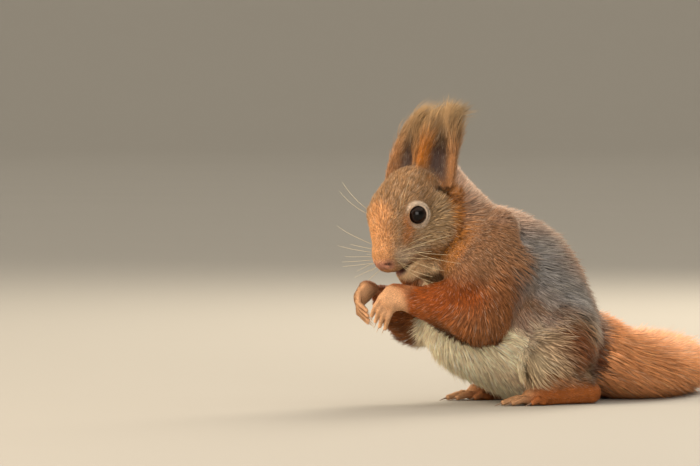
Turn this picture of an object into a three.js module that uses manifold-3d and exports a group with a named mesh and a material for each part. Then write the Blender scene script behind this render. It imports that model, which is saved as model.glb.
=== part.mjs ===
// A red squirrel, life size, sitting on its haunches with both hands held up under its chin.
// Lengths are in millimetres, +Z is up, the animal faces -X and its left side is towards -Y.
// The origin is on the floor, in the middle of the flat under the rump that it sits on.
//
// Flesh is described by soft masses (balls and tapered limbs) that melt into each other. Each piece is a
// capsule whose vertices are pushed out from a spine until they reach the surface of those masses, and
// neighbouring pieces are then parted by thin cuts. All sizes include the coat, out to the hair tips.
import * as THREE from "three";
import { mergeVertices } from "three/addons/utils/BufferGeometryUtils.js";
import Module from "manifold-3d";

const wasm = await Module();
wasm.setup();

// ---------------------------------------------------------------- driving dimensions

const GAP = 0.32; // width of the cut between two pieces that meet
const DEG = Math.PI / 180;
const SIDES = { left: 1, right: -1 };

const HEAD_YAW = 16 * DEG; // turned to its left
const HEAD_PITCH = 47.5 * DEG; // nose down
const HEAD_ROLL = 6 * DEG; // left cheek lower
const HEAD_AT = [-74.5, -7, 90.5]; // midway between the eyes

const EYE_RADIUS = 5.3;
const EYE_AT = [0.2, 12.7, 0.3]; // forward, sideways, up, in the head's frame

const EAR_AT = { left: [-19.6, 11.8, 0], right: [-19, 12.3, 0.6] }; // forward, sideways, up, in the head's frame
const EAR_ROOT_DEPTH = 8; // how far the pinna starts below that point
const EAR_HEIGHT = 40; // from the root inside the head to the tip of the pinna
const EAR_HALF_WIDTH = 9.4;
const EAR_HALF_THICKNESS = 1.2;
const EAR_TURN = { left: 33 * DEG, right: 2 * DEG }; // how far each opening faces outwards
const TUFT_HALF_WIDTH = 8.6;
const TUFT_HALF_THICKNESS = 3;
// From the pinna's tip to the last full part of the tuft
const TUFT_SWEEP = { left: [5.5, 0.5, 7.5], right: [7.5, -1, 6.5] };

const HAND_YAW = HEAD_YAW;
const HANDS_AT = [-88.2, -4, 50]; // midway between the palms
const FINGERS = 4;
const FINGER_LENGTH = 9.5;
const FINGER_RADIUS = 1.45;
const FINGER_TAPER = [1.25, 1.12, 1, 0.72];
const FINGER_SPACING = 2.35;
const HAND_CLAW_LENGTH = 3.8;

const TOES = 5;
const TOE_RADIUS = 2;
const FOOT_CLAW_LENGTH = 5;
const CLAW_RADIUS = 0.75;
const CLAW_TIP_RADIUS = 0.3;

const TAIL_HALF_WIDTH = 27;
const TAIL_HALF_HEIGHT = 14.5;
const TAIL_ROOT_RISE = 0.85; // the fur stands this much higher at the root

// ---------------------------------------------------------------- points, frames and masses

const point = (x, y, z) => new THREE.Vector3(x, y, z);
const UP = point(0, 0, 1);
const FORWARD = point(-1, 0, 0);

// A frame whose axes run forward, to the animal's left, and up.
function bodyFrame(at, yaw, pitch = 0, roll = 0) {
  const forward = point(
    -Math.cos(pitch) * Math.cos(yaw),
    -Math.cos(pitch) * Math.sin(yaw),
    -Math.sin(pitch),
  );
  const left = point(Math.sin(yaw), -Math.cos(yaw), 0).applyAxisAngle(
    forward,
    roll,
  );
  const up = forward.clone().cross(left);
  return new THREE.Matrix4().makeBasis(forward, left, up).setPosition(...at);
}

const WORLD = new THREE.Matrix4();
const HEAD = bodyFrame(HEAD_AT, HEAD_YAW, HEAD_PITCH, HEAD_ROLL);
const HANDS = bodyFrame(HANDS_AT, HAND_YAW);
const within = (frame, at) => point(...at).applyMatrix4(frame);
const towards = (frame, way) =>
  point(...way)
    .transformDirection(frame)
    .normalize();

// A ball of flesh with its own size along each axis of its frame.
function ball(at, radii, frame = WORLD) {
  const inverse = frame.clone().invert();
  const size = point(...radii);
  const local = point(0, 0, 0);
  return (p) => {
    local.copy(p).applyMatrix4(inverse).sub(point(...at)).divide(size);
    const near = local.length();
    const slope = local.divide(size).length();
    return slope < 1e-9 ? -Math.min(...radii) : (near * (near - 1)) / slope;
  };
}

// A tapered limb between two points of its frame.
function limb(from, to, startRadius, endRadius, frame = WORLD) {
  const a = within(frame, from);
  const axis = within(frame, to).sub(a);
  const length = axis.length();
  axis.normalize();
  const taper = (startRadius - endRadius) / length;
  const lean = Math.sqrt(Math.max(0, 1 - taper * taper));
  return (p) => {
    const rel = p.clone().sub(a);
    const along = rel.dot(axis);
    const off = Math.sqrt(Math.max(0, rel.lengthSq() - along * along));
    const rise = along * lean - off * taper;
    if (rise < 0) return Math.hypot(off, along) - startRadius;
    if (rise > length * lean) return Math.hypot(off, along - length) - endRadius;
    return off * lean + along * taper - startRadius;
  };
}

// Masses that melt into one another over a given width.
function melt(width, ...masses) {
  return (p) =>
    masses
      .map((mass) => mass(p))
      .reduce((a, b) => {
        const share = Math.max(width - Math.abs(a - b), 0) / width;
        return Math.min(a, b) - (share * share * width) / 4;
      });
}

const swollen = (mass, by) => (p) => mass(p) - by;
const pair = (make) => Object.values(SIDES).map(make);

// ---------------------------------------------------------------- closed surfaces

// A capsule whose axis is bent along a spine. reachOf(root, way, t) says how far each vertex goes out.
function spread(spine, reachOf, { around, along, caps, over = UP }) {
  const capsule = new THREE.CapsuleGeometry(1, 1, caps, around, along);
  const position = capsule.getAttribute("position");
  for (let i = 0; i < position.count; i++) {
    const y = position.getY(i);
    const t = THREE.MathUtils.clamp(y, -0.5, 0.5) + 0.5;
    const root = spine.getPointAt(t);
    const ahead = spine.getTangentAt(t);
    const side = over.clone().cross(ahead).normalize();
    const third = side.clone().cross(ahead);
    const way = side
      .multiplyScalar(position.getX(i))
      .addScaledVector(ahead, y - (t - 0.5))
      .addScaledVector(third, position.getZ(i))
      .normalize();
    const reach = reachOf(root, way, t);
    root.addScaledVector(way, reach);
    position.setXYZ(i, root.x, root.y, root.z);
  }
  return solid(capsule);
}

// How far the surface of a mass lies from a point inside it, along a direction.
const REACH_STEPS = 60;
const REACH_HALVINGS = 20;
function surfaceAlong(mass, longest) {
  return (root, way) => {
    let inside = 0;
    let outside = longest;
    for (let k = 1; k <= REACH_STEPS; k++) {
      const r = (longest * k) / REACH_STEPS;
      if (mass(root.clone().addScaledVector(way, r)) > 0) {
        outside = r;
        break;
      }
      inside = r;
    }
    for (let k = 0; k < REACH_HALVINGS; k++) {
      const middle = (inside + outside) / 2;
      if (mass(root.clone().addScaledVector(way, middle)) > 0) outside = middle;
      else inside = middle;
    }
    return inside;
  };
}

const curve = (...points) => new THREE.CatmullRomCurve3(points);

function cast(mass, points, detail) {
  return spread(curve(...points), surfaceAlong(mass, detail.longest), detail);
}

// A solid and the same solid grown by the gap, which its neighbours are cut with.
function flesh(mass, points, detail) {
  return {
    piece: cast(mass, points, detail),
    cutter: cast(swollen(mass, GAP), points, detail),
  };
}

// A bundle of fur along a curve, as wide and as high as two functions of the share travelled.
function bundle(line, wideAt, highAt, long, detail) {
  const over = detail.over ?? UP;
  const reachOf = (root, way, t) => {
    const ahead = line.getTangentAt(t);
    const side = over.clone().cross(ahead).normalize();
    const third = side.clone().cross(ahead);
    const shares = [
      way.dot(side) / wideAt(t),
      way.dot(third) / highAt(t),
      way.dot(ahead) / long,
    ];
    return 1 / Math.hypot(...shares);
  };
  return spread(line, reachOf, detail);
}

// A tube along points, whose radius runs through the given values.
function tube(points, radii, detail) {
  const last = radii.length - 1;
  const radiusAt = (t) => {
    const i = Math.min(Math.floor(t * last), last - 1);
    return THREE.MathUtils.lerp(radii[i], radii[i + 1], t * last - i);
  };
  return spread(curve(...points), (root, way, t) => radiusAt(t), detail);
}

// ---------------------------------------------------------------- solids, cuts and joins

function solid(geometry) {
  const bare = geometry.clone();
  bare.deleteAttribute("normal");
  bare.deleteAttribute("uv");
  const merged = mergeVertices(bare, 1e-4);
  const corners = [...merged.index.array];
  const faces = [];
  for (let i = 0; i < corners.length; i += 3) {
    const [a, b, c] = corners.slice(i, i + 3);
    if (a !== b && b !== c && c !== a) faces.push(a, b, c);
  }
  return new wasm.Manifold(
    new wasm.Mesh({
      numProp: 3,
      vertProperties: merged.getAttribute("position").array,
      triVerts: new Uint32Array(faces),
    }),
  );
}

const HALF_SPACE = 600;

// Everything beyond a plane, on the side that its normal points to.
function beyond(at, normal) {
  const box = new THREE.BoxGeometry(HALF_SPACE, HALF_SPACE, HALF_SPACE);
  box.translate(0, 0, HALF_SPACE / 2);
  const turn = new THREE.Quaternion().setFromUnitVectors(
    UP,
    normal.clone().normalize(),
  );
  box.applyQuaternion(turn);
  box.translate(at.x, at.y, at.z);
  return solid(box);
}

// Cuts a solid in two at a plane and takes half the gap off each side.
function part(body, at, normal) {
  const n = normal.clone().normalize();
  const step = n.clone().multiplyScalar(GAP / 2);
  return [
    body.subtract(beyond(at.clone().sub(step), n)),
    body.subtract(beyond(at.clone().add(step), n.clone().negate())),
  ];
}

const without = (body, ...cutters) =>
  cutters.reduce((left, cutter) => left.subtract(cutter), body);
const onFloor = (body) => body.subtract(beyond(point(0, 0, 0), point(0, 0, -1)));
const largest = (body) =>
  body.decompose().sort((a, b) => b.volume() - a.volume())[0];

const squirrel = new THREE.Group();
const COATS = {
  fur_head: [0x8f7050, 0.9],
  fur_back: [0x7c6a5c, 0.9],
  fur_rufous: [0xa65c2e, 0.9],
  fur_tail: [0xbf6b3a, 0.9],
  skin_hand: [0xc69877, 0.7],
  nose_skin: [0xa06a58, 0.5],
  eye: [0x140c0a, 0.08],
  claw: [0x4a382e, 0.4],
};

function add(name, coat, body) {
  const mesh = largest(body).getMesh();
  const geometry = new THREE.BufferGeometry();
  geometry.setAttribute(
    "position",
    new THREE.BufferAttribute(mesh.vertProperties, 3),
  );
  geometry.setIndex(new THREE.BufferAttribute(mesh.triVerts, 1));
  geometry.computeVertexNormals();
  const [color, roughness] = COATS[coat];
  const material = new THREE.MeshStandardMaterial({ color, roughness });
  const piece = new THREE.Mesh(geometry, material);
  piece.name = name;
  squirrel.add(piece);
}

// ---------------------------------------------------------------- head, neck and trunk

const headMass = melt(
  6,
  ball([-9, 0, 0], [17.8, 16, 15.4], HEAD), // brain case
  ball([1.5, 0, 2], [13.3, 12.3, 11.6], HEAD), // forehead
  limb([8, 0, -3.5], [18.3, 0, -5.8], 10.9, 7.7, HEAD), // snout
  ...pair((s) => ball([18, s * 3.6, -9.6], [6.4, 4.8, 4.8], HEAD)), // whisker pads
  ...pair((s) => ball([3, s * 8.5, -10.5], [12.5, 7.6, 9], HEAD)), // cheeks
  ...pair((s) => ball([-7, s * 9, -9], [11, 8.5, 11], HEAD)), // jaw muscles
  ...pair((s) => ball([1.5, s * 10, 5], [7, 4.6, 4.2], HEAD)), // brows
  limb([-4, 0, -15], [15.2, 0, -20], 9, 4.8, HEAD), // lower jaw
);

const neckMass = melt(
  14,
  limb([-49, -1, 88], [-27, 0, 70], 19.5, 25),
  ball([-46, -1, 72], [15, 18, 17]), // throat
);

const trunkMass = melt(
  16,
  ball([-15, 0, 60], [34, 25, 32.5]), // chest and shoulders
  ball([-27, 0, 38], [31, 26, 26.5]), // belly
  ball([-4.5, 0, 42], [34, 28, 33]), // loins
  ball([4, 0, 25], [27, 26, 26.5]), // rump
);

const coreMass = melt(8, headMass, neckMass, trunkMass);

const NAPE = point(-54, -2, 95); // between head and neck
const NAPE_NORMAL = point(1, 0.15, 0.1);
const SHOULDERS = point(-36, 0, 80); // between neck and trunk
const SHOULDERS_NORMAL = point(0.76, 0, -0.65);

function core() {
  const detail = { around: 22, along: 5, caps: 5, longest: 60 };
  const head = flesh(
    melt(8, headMass, neckMass),
    [within(HEAD, [-16, 0, -2]), within(HEAD, [17, 0, -7])],
    { ...detail, over: towards(HEAD, [0, 0, 1]) },
  );
  const neck = flesh(
    coreMass,
    [within(HEAD, [-15, 0, -2]), point(-50, -1, 86), point(-22, 0, 66)],
    { ...detail, around: 16, along: 5, caps: 2, over: FORWARD },
  );
  const trunk = flesh(
    melt(8, neckMass, trunkMass),
    [point(-24, 0, 60), point(-3, 0, 32)],
    { ...detail, over: FORWARD },
  );
  return { head, neck, trunk };
}

const { head, neck, trunk } = core();

const [beforeNape] = part(head.piece, NAPE, NAPE_NORMAL);
const [headPiece] = part(beforeNape, SHOULDERS, SHOULDERS_NORMAL);
const [, behindHead] = part(neck.piece, NAPE, NAPE_NORMAL);
const [neckPiece] = part(behindHead, SHOULDERS, SHOULDERS_NORMAL);
const [, trunkPiece] = part(trunk.piece, SHOULDERS, SHOULDERS_NORMAL);

// ---------------------------------------------------------------- face

const MOUTH_CORNER = within(HEAD, [12, 0, -17]);
const UPPER_LIP_NORMAL = towards(HEAD, [0.26, 0, -0.96]);
const LOWER_LIP_NORMAL = towards(HEAD, [-0.03, 0, -1]);
const JAW_HINGE_NORMAL = towards(HEAD, [1, 0, 0.1]);
const NOSE_AT = [25, 0, -6];
const NOSE_RADII = [2.2, 3.1, 2.4];

function eyeball(side, radius) {
  const [ahead, sideways, above] = EYE_AT;
  const at = within(HEAD, [ahead, side * sideways, above]);
  const sphere = new THREE.SphereGeometry(radius, 10, 7);
  sphere.rotateX(Math.PI / 2).translate(at.x, at.y, at.z);
  return solid(sphere);
}

function nosePad(growth) {
  const radii = NOSE_RADII.map((r) => r + growth);
  const [ahead, , above] = NOSE_AT;
  return cast(
    ball(NOSE_AT, radii, HEAD),
    [within(HEAD, [ahead, -1, above]), within(HEAD, [ahead, 1, above])],
    { around: 7, along: 1, caps: 2, longest: 8 },
  );
}

// ---------------------------------------------------------------- ears

const EAR_WAYS = { left: point(0.16, 0.02, 0.98), right: point(0.22, -0.05, 0.97) };

// The pinna is a leaf with a rounded edge, bent across into a scoop that opens forwards and outwards.
function pinna(name) {
  const side = SIDES[name];
  const facing = HEAD_YAW + side * EAR_TURN[name];
  const open = point(-Math.cos(facing), -Math.sin(facing), 0);
  const way = EAR_WAYS[name].clone().normalize();
  const across = way.clone().cross(open).normalize();
  const out = across.clone().cross(way);
  const frame = new THREE.Matrix4().makeBasis(across, way, out);
  const [ahead, sideways, above] = EAR_AT[name];
  const root = within(HEAD, [ahead, side * sideways, above]);
  frame.setPosition(root.addScaledVector(way, -EAR_ROOT_DEPTH));
  const leaf = new THREE.SphereGeometry(1, 12, 9);
  const position = leaf.getAttribute("position");
  for (let i = 0; i < position.count; i++) {
    const [x, y, z] = [position.getX(i), position.getY(i), position.getZ(i)];
    const ring = Math.hypot(x, z);
    const height = (y + 1) / 2;
    const wide = EAR_HALF_WIDTH * Math.pow(ring, 0.6) * (1.1 - 0.28 * height);
    const curl = 6.5 * (1 - 0.62 * height);
    const share = ring > 1e-6 ? x / ring : 0;
    const depth = ring > 1e-6 ? z / ring : 0;
    position.setXYZ(
      i,
      share * wide,
      height * EAR_HEIGHT,
      depth * EAR_HALF_THICKNESS * Math.pow(ring, 0.5) +
        curl * (share * share * ring - 0.5),
    );
  }
  return { body: solid(leaf.applyMatrix4(frame)), frame };
}

function earTuft(name, frame, growth) {
  const across = towards(frame, [1, 0, 0]);
  const base = within(frame, [0, EAR_HEIGHT - 11, -1.5]);
  const middle = within(frame, [0, EAR_HEIGHT, -2.4]);
  const tip = middle.clone().add(point(...TUFT_SWEEP[name]));
  const taper = (t) => Math.sqrt(Math.max(0.05, 1 - 0.8 * t * t));
  return bundle(
    curve(base, middle, tip),
    (t) => TUFT_HALF_THICKNESS * taper(t) + growth,
    (t) => TUFT_HALF_WIDTH * taper(t) + growth,
    3.5 + growth,
    { around: 8, along: 2, caps: 2, over: across },
  );
}

// ---------------------------------------------------------------- arms and hands

const SHOULDER = { left: [-29, -21, 66], right: [-37, 20, 64] };
const ELBOW = { left: [-42, -27, 42.5], right: [-50, 22, 40] };
const ELBOW_RADIUS = { left: 14, right: 12 };
const CUFF_OFFSET = point(1.5, 0, -3.5); // the fur hangs below the wrist
const CUFF_RADIUS = 8;
const WRIST_OFFSET = [-8, 3, 5.5]; // from between the hands, forward, outwards, up
const PALM_SPREAD = 6.2;
const HAND_SHIFT = { left: [-0.5, 0, -0.4], right: [0.5, 0, 0.8] };
const PALM_WAY = [0.75, 0, -0.65]; // along the back of the hand, wrist to knuckles
const BACK_OF_HAND = [0.35, 0.85, 0.4];
const CURL_WAY = { left: [-0.1, -0.5, -0.8], right: [-0.35, -0.62, -0.7] }; // finger tips
const PALM_LENGTH = 9.5;

const inHands = (side, [ahead, outwards, above]) =>
  within(HANDS, [ahead, side * outwards, above]);
const handWay = (side, [ahead, outwards, above]) =>
  towards(HANDS, [ahead, side * outwards, above]);

function handPlan(name) {
  const side = SIDES[name];
  const [ahead, outwards, above] = WRIST_OFFSET;
  const [forth, , lift] = HAND_SHIFT[name];
  const wrist = inHands(side, [ahead + forth, PALM_SPREAD + outwards, above + lift]);
  const palmWay = handWay(side, PALM_WAY);
  const back = handWay(side, BACK_OF_HAND);
  const thumbWay = handWay(side, [0.5525, -0.5275, 0.6375]);
  const curlWay = handWay(side, CURL_WAY[name]);
  const knuckles = wrist.clone().addScaledVector(palmWay, PALM_LENGTH);
  return { wrist, palmWay, back, thumbWay, curlWay, knuckles };
}

function fingerLine(plan, i) {
  const rank = (FINGERS - 1) / 2 - i; // from the index finger down to the little finger
  const length = FINGER_LENGTH * (1 - 0.09 * Math.abs(rank + 0.3));
  const start = plan.knuckles
    .clone()
    .addScaledVector(plan.thumbWay, rank * FINGER_SPACING);
  const bend = start
    .clone()
    .addScaledVector(plan.palmWay, 0.32 * length)
    .addScaledVector(plan.curlWay, 0.3 * length);
  const tip = bend.clone().addScaledVector(plan.curlWay, 0.62 * length);
  return { start, bend, tip };
}

function hand(name, growth = 0) {
  const plan = handPlan(name);
  const lines = Array.from({ length: FINGERS }, (_, i) => fingerLine(plan, i));
  const palm = melt(
    3,
    ...lines.map(({ start }, i) => {
      const heel = plan.wrist.clone().addScaledVector(plan.thumbWay, (1.5 - i) * 1.3);
      return limb(heel.toArray(), start.toArray(), 3.4 + growth, 2.1 + growth);
    }),
  );
  const detail = { around: 8, along: 2, caps: 1, longest: 14, over: plan.back };
  const fingers = lines.map(({ start, bend, tip }) => {
    const radii = FINGER_TAPER.map((share) => share * FINGER_RADIUS + growth);
    return tube([start, bend, tip], radii, {
      around: 5,
      along: 3,
      caps: 1,
      over: plan.back,
    });
  });
  const body = cast(palm, [plan.wrist, plan.knuckles], detail);
  return fingers.reduce((all, finger) => all.add(finger), body);
}

function claw(root, way, hook, length) {
  const bend = root.clone().addScaledVector(way, length * 0.5);
  const tip = root
    .clone()
    .addScaledVector(way, length * 0.85)
    .addScaledVector(hook, length * 0.35);
  return tube([root, bend, tip], [CLAW_RADIUS, 0.62, CLAW_TIP_RADIUS], {
    around: 4,
    along: 1,
    caps: 1,
    over: way.clone().cross(hook),
  });
}

function fingerClaws(name) {
  const plan = handPlan(name);
  const hook = plan.back.clone().negate();
  return Array.from({ length: FINGERS }, (_, i) => {
    const { tip } = fingerLine(plan, i);
    const root = tip.clone().addScaledVector(plan.curlWay, 0.3);
    return claw(root, plan.curlWay, hook, HAND_CLAW_LENGTH);
  });
}

function upperArmMass(name) {
  return melt(
    8,
    limb(SHOULDER[name], ELBOW[name], 17.5, 14),
    ball(SHOULDER[name], [18, 12, 19]),
  );
}

function forearmMass(name, plan) {
  const cuff = plan.wrist.clone().add(CUFF_OFFSET).toArray();
  const thick = ELBOW_RADIUS[name];
  return melt(
    8,
    limb(ELBOW[name], cuff, thick, CUFF_RADIUS),
    ball(ELBOW[name], [thick + 1, thick - 2, thick - 1]),
  );
}

// ---------------------------------------------------------------- hind legs

const HIP = [2.5, 19, 39];
const KNEE = [-9, 27, 22];
const ANKLE = [14, 25, 11];
const HEEL = [18, 25, 5];
const INSTEP = [-12, 28, 3.8];
const leftIsNegative = (side, [x, y, z]) => [x, -side * y, z];

function thighMass(side) {
  return melt(
    12,
    limb(leftIsNegative(side, HIP), leftIsNegative(side, KNEE), 19, 14),
    ball(leftIsNegative(side, [4, 20, 25]), [21, 15, 20]),
  );
}

function shankMass(side) {
  return limb(leftIsNegative(side, KNEE), leftIsNegative(side, ANKLE), 11, 7);
}

function toeLine(side, i) {
  const rank = i - (TOES - 1) / 2;
  const length = 15 - 2.1 * rank * rank + (i === 0 ? 1 : 0);
  const root = point(...leftIsNegative(side, INSTEP));
  root.x += 0.9 * rank * rank - 3;
  root.y += -side * rank * 2.9;
  root.z = 2.1;
  const splay = -side * rank * 0.1;
  const tip = root.clone().add(point(-length, splay * length, -0.35));
  const arch = root.clone().lerp(tip, 0.5);
  arch.z += 1.3;
  return { root, arch, tip };
}

function foot(side, growth) {
  const heel = leftIsNegative(side, HEEL);
  const instep = leftIsNegative(side, INSTEP);
  const sole = melt(
    5,
    limb(heel, instep, 6.2 + growth, 4.6 + growth),
    ball([instep[0], instep[1], 3.2], [8 + growth, 7.6 + growth, 4.2 + growth]),
  );
  const blade = cast(sole, [point(...heel), point(...instep)], {
    around: 8,
    along: 3,
    caps: 2,
    longest: 20,
  });
  const toes = Array.from({ length: TOES }, (_, i) => {
    const { root, arch, tip } = toeLine(side, i);
    const r = TOE_RADIUS + growth;
    const radii = [1.2 * r, r, 0.95 * r, 0.72 * r];
    return tube([root, arch, tip], radii, { around: 6, along: 2, caps: 1 });
  });
  return toes.reduce((all, toe) => all.add(toe), blade);
}

function toeClaws(side) {
  return Array.from({ length: TOES }, (_, i) => {
    const { root, tip } = toeLine(side, i);
    const way = tip.clone().sub(root).setZ(0).normalize();
    const start = tip.clone().addScaledVector(way, 0.4);
    start.z = 1.9;
    return claw(start, way, point(0, 0, -1), FOOT_CLAW_LENGTH);
  });
}

// ---------------------------------------------------------------- tail

const TAIL_LINE = [
  point(20, 0, 27),
  point(44, 4, 18),
  point(76, 24, 14),
  point(103, 58, 13),
  point(116, 98, 12),
];
const TAIL_CUTS = [0.42, 0.72]; // shares of the line's length

function brush(line) {
  const fullness = (t) => 1 - 0.5 * Math.pow(Math.abs(t - 0.42) / 0.58, 2.2);
  const wideAt = (t) =>
    TAIL_HALF_WIDTH * fullness(t) * (0.72 + 0.28 * Math.min(1, t / 0.35));
  const highAt = (t) =>
    TAIL_HALF_HEIGHT * fullness(t) * (1 + TAIL_ROOT_RISE * Math.exp(-t / 0.12));
  return bundle(line, wideAt, highAt, 22, { around: 14, along: 9, caps: 3 });
}

function tailPieces() {
  const line = curve(...TAIL_LINE);
  let rest = onFloor(brush(line));
  const lengths = TAIL_CUTS.map((t) => {
    const [before, after] = part(rest, line.getPointAt(t), line.getTangentAt(t));
    rest = after;
    return before;
  });
  return [...lengths, rest];
}

// ---------------------------------------------------------------- the animal

function addHead() {
  const eyes = pair((s) => eyeball(s, EYE_RADIUS));
  const sockets = pair((s) => eyeball(s, EYE_RADIUS + GAP));
  const skull = without(headPiece, ...sockets, nosePad(GAP));
  const [behind, snout] = part(skull, MOUTH_CORNER, JAW_HINGE_NORMAL);
  const upper = snout.subtract(beyond(MOUTH_CORNER, UPPER_LIP_NORMAL));
  const bridge = skull.subtract(beyond(MOUTH_CORNER, UPPER_LIP_NORMAL));
  const jaw = snout.intersect(beyond(MOUTH_CORNER, LOWER_LIP_NORMAL));
  add("head", "fur_head", behind.add(upper).add(bridge));
  add("lower_jaw", "fur_head", jaw);
  add("nose", "nose_skin", nosePad(0));
  Object.keys(SIDES).forEach((name, i) => add(`eye_${name}`, "eye", eyes[i]));
}

function addEars() {
  for (const name of Object.keys(SIDES)) {
    const { body, frame } = pinna(name);
    const ear = without(body, head.cutter, neck.cutter, earTuft(name, frame, GAP));
    add(`ear_${name}`, "fur_rufous", ear);
    add(`ear_tuft_${name}`, "fur_rufous", earTuft(name, frame, 0));
  }
}

function addArm(name) {
  const plan = handPlan(name);
  const towardsBody = point(0, 0, 1);
  const detail = { around: 11, along: 3, caps: 2, longest: 40, over: FORWARD };
  const shoulder = point(...SHOULDER[name]);
  const elbow = point(...ELBOW[name]);
  const lower = flesh(forearmMass(name, plan), [elbow, plan.wrist], {
    ...detail,
    over: towardsBody,
  });
  const upper = cast(upperArmMass(name), [shoulder, elbow], detail);
  const bodies = [trunk.cutter, neck.cutter, head.cutter];
  const cuff = plan.wrist.clone().addScaledVector(plan.palmWay, 1);
  const [forearmPiece] = part(lower.piece, cuff, plan.palmWay);
  const [, handPiece] = part(hand(name), cuff, plan.palmWay);
  add(`upper_arm_${name}`, "fur_rufous", without(upper, ...bodies, lower.cutter));
  add(`forearm_${name}`, "fur_rufous", without(forearmPiece, ...bodies));
  add(`hand_${name}`, "skin_hand", without(handPiece, head.cutter));
  fingerClaws(name).forEach((one, i) =>
    add(`hand_claw_${name}_${i + 1}`, "claw", without(one, hand(name, GAP))),
  );
}

function addLeg(name, side) {
  const detail = { around: 12, along: 2, caps: 3, longest: 45, over: UP };
  const hip = point(...leftIsNegative(side, HIP));
  const knee = point(...leftIsNegative(side, KNEE));
  const ankle = point(...leftIsNegative(side, ANKLE));
  const shank = flesh(shankMass(side), [knee, ankle], { ...detail, around: 7, caps: 2 });
  const thigh = cast(thighMass(side), [hip, knee], detail);
  const sole = foot(side, 0);
  const soleCutter = foot(side, GAP);
  add(
    `thigh_${name}`,
    "fur_back",
    onFloor(without(thigh, trunk.cutter, shank.cutter, soleCutter)),
  );
  add(
    `shank_${name}`,
    "fur_back",
    onFloor(without(shank.piece, trunk.cutter, soleCutter)),
  );
  add(`foot_${name}`, "fur_rufous", onFloor(without(sole, trunk.cutter)));
  toeClaws(side).forEach((one, i) =>
    add(`foot_claw_${name}_${i + 1}`, "claw", onFloor(without(one, soleCutter))),
  );
}

addHead();
addEars();
add("neck", "fur_back", neckPiece);
add("trunk", "fur_back", onFloor(trunkPiece));
for (const [name, side] of Object.entries(SIDES)) {
  addArm(name);
  addLeg(name, side);
}
const tailNames = ["tail_base", "tail_middle", "tail_tip"];
tailPieces().forEach((piece, i) =>
  add(tailNames[i], "fur_tail", without(piece, trunk.cutter)),
);

export default squirrel;
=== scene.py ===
"""A red squirrel, life size, dressed as a still museum model: skin, coat, eyes, claws and whiskers."""

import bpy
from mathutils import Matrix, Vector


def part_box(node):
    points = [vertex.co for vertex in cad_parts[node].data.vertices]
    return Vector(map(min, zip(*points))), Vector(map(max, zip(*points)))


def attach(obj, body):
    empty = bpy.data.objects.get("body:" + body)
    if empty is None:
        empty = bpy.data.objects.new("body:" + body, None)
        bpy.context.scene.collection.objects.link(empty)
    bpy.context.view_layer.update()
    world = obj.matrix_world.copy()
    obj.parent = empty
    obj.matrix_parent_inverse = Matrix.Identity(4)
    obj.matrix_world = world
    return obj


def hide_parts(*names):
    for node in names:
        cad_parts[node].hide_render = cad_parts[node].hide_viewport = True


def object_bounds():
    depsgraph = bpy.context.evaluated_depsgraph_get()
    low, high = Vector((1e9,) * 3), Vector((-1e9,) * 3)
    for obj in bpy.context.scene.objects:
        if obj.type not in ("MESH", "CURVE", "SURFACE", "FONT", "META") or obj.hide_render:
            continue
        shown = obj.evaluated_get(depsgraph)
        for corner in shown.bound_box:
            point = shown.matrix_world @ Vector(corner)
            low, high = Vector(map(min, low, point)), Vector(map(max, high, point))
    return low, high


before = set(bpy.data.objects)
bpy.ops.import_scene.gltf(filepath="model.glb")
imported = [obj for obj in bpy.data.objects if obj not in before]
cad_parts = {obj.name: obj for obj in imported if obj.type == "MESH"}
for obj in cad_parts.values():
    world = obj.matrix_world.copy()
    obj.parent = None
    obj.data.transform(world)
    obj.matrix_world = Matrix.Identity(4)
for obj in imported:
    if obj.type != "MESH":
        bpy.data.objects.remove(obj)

import copy
import heapq
import math

import bpy
import numpy as np
import openvdb as vdb
from bpy.props import FloatProperty, FloatVectorProperty, IntProperty, PointerProperty
from mathutils import Vector, kdtree

bl_info = {
    "name": "Red squirrel",
    "version": (1, 0, 0),
    "blender": (4, 5, 0),
    "location": "3D View > Sidebar > Squirrel",
    "description": "Skin, coat, eyes, claws and whiskers of a sitting red squirrel",
    "category": "Object",
}

CAD_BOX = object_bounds()  # before anything is dressed

# All lengths in this file are millimetres until a mesh is written, which is in metres.
MM = 0.001
SIDES = {"left": 1, "right": -1}  # the animal faces -X, and its left side is towards -Y
NAMES = {side: name for name, side in SIDES.items()}


# ---------------------------------------------------------------- frames and places


def unit(v):
    return v / np.linalg.norm(v, axis=-1, keepdims=True)


def node_box(node):
    low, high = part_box(node)
    return np.array(low) / MM, np.array(high) / MM


def centre(node):
    low, high = node_box(node)
    return (low + high) / 2


class Axes:
    """A place with axes that run forward, to the animal's left, and up."""

    def __init__(self, at, forward, left):
        self.at = np.array(at, float)
        self.forward = unit(np.array(forward, float))
        self.left = unit(np.array(left, float))
        self.up = np.cross(self.forward, self.left)

    def place(self, *local):
        ahead, left, up = local
        return self.at + ahead * self.forward + left * self.left + up * self.up

    def way(self, ahead, left, up):
        return unit(ahead * self.forward + left * self.left + up * self.up)

    def inside(self, points):
        rows = np.stack([self.forward, self.left, self.up])
        return (points - self.at) @ rows.T


# The nose lies this far below the head's forward axis, seen from between the eyes
NOSE_DROP = math.radians(14.25)


def head_axes():
    left_eye, right_eye = centre("eye_left"), centre("eye_right")
    left = unit(left_eye - right_eye)
    between = (left_eye + right_eye) / 2
    to_nose = centre("nose") - between
    to_nose = unit(to_nose - left * to_nose.dot(left))
    forward = math.cos(NOSE_DROP) * to_nose + math.sin(NOSE_DROP) * np.cross(to_nose, left)
    return Axes(between, forward, left)


HEAD = head_axes()


# ---------------------------------------------------------------- settings that a user would change


def linear(code):
    """An sRGB hex colour as linear red, green and blue."""
    shares = [int(code[i : i + 2], 16) / 255 for i in (1, 3, 5)]
    return tuple(c / 12.92 if c <= 0.04045 else ((c + 0.055) / 1.055) ** 2.4 for c in shares)


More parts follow.
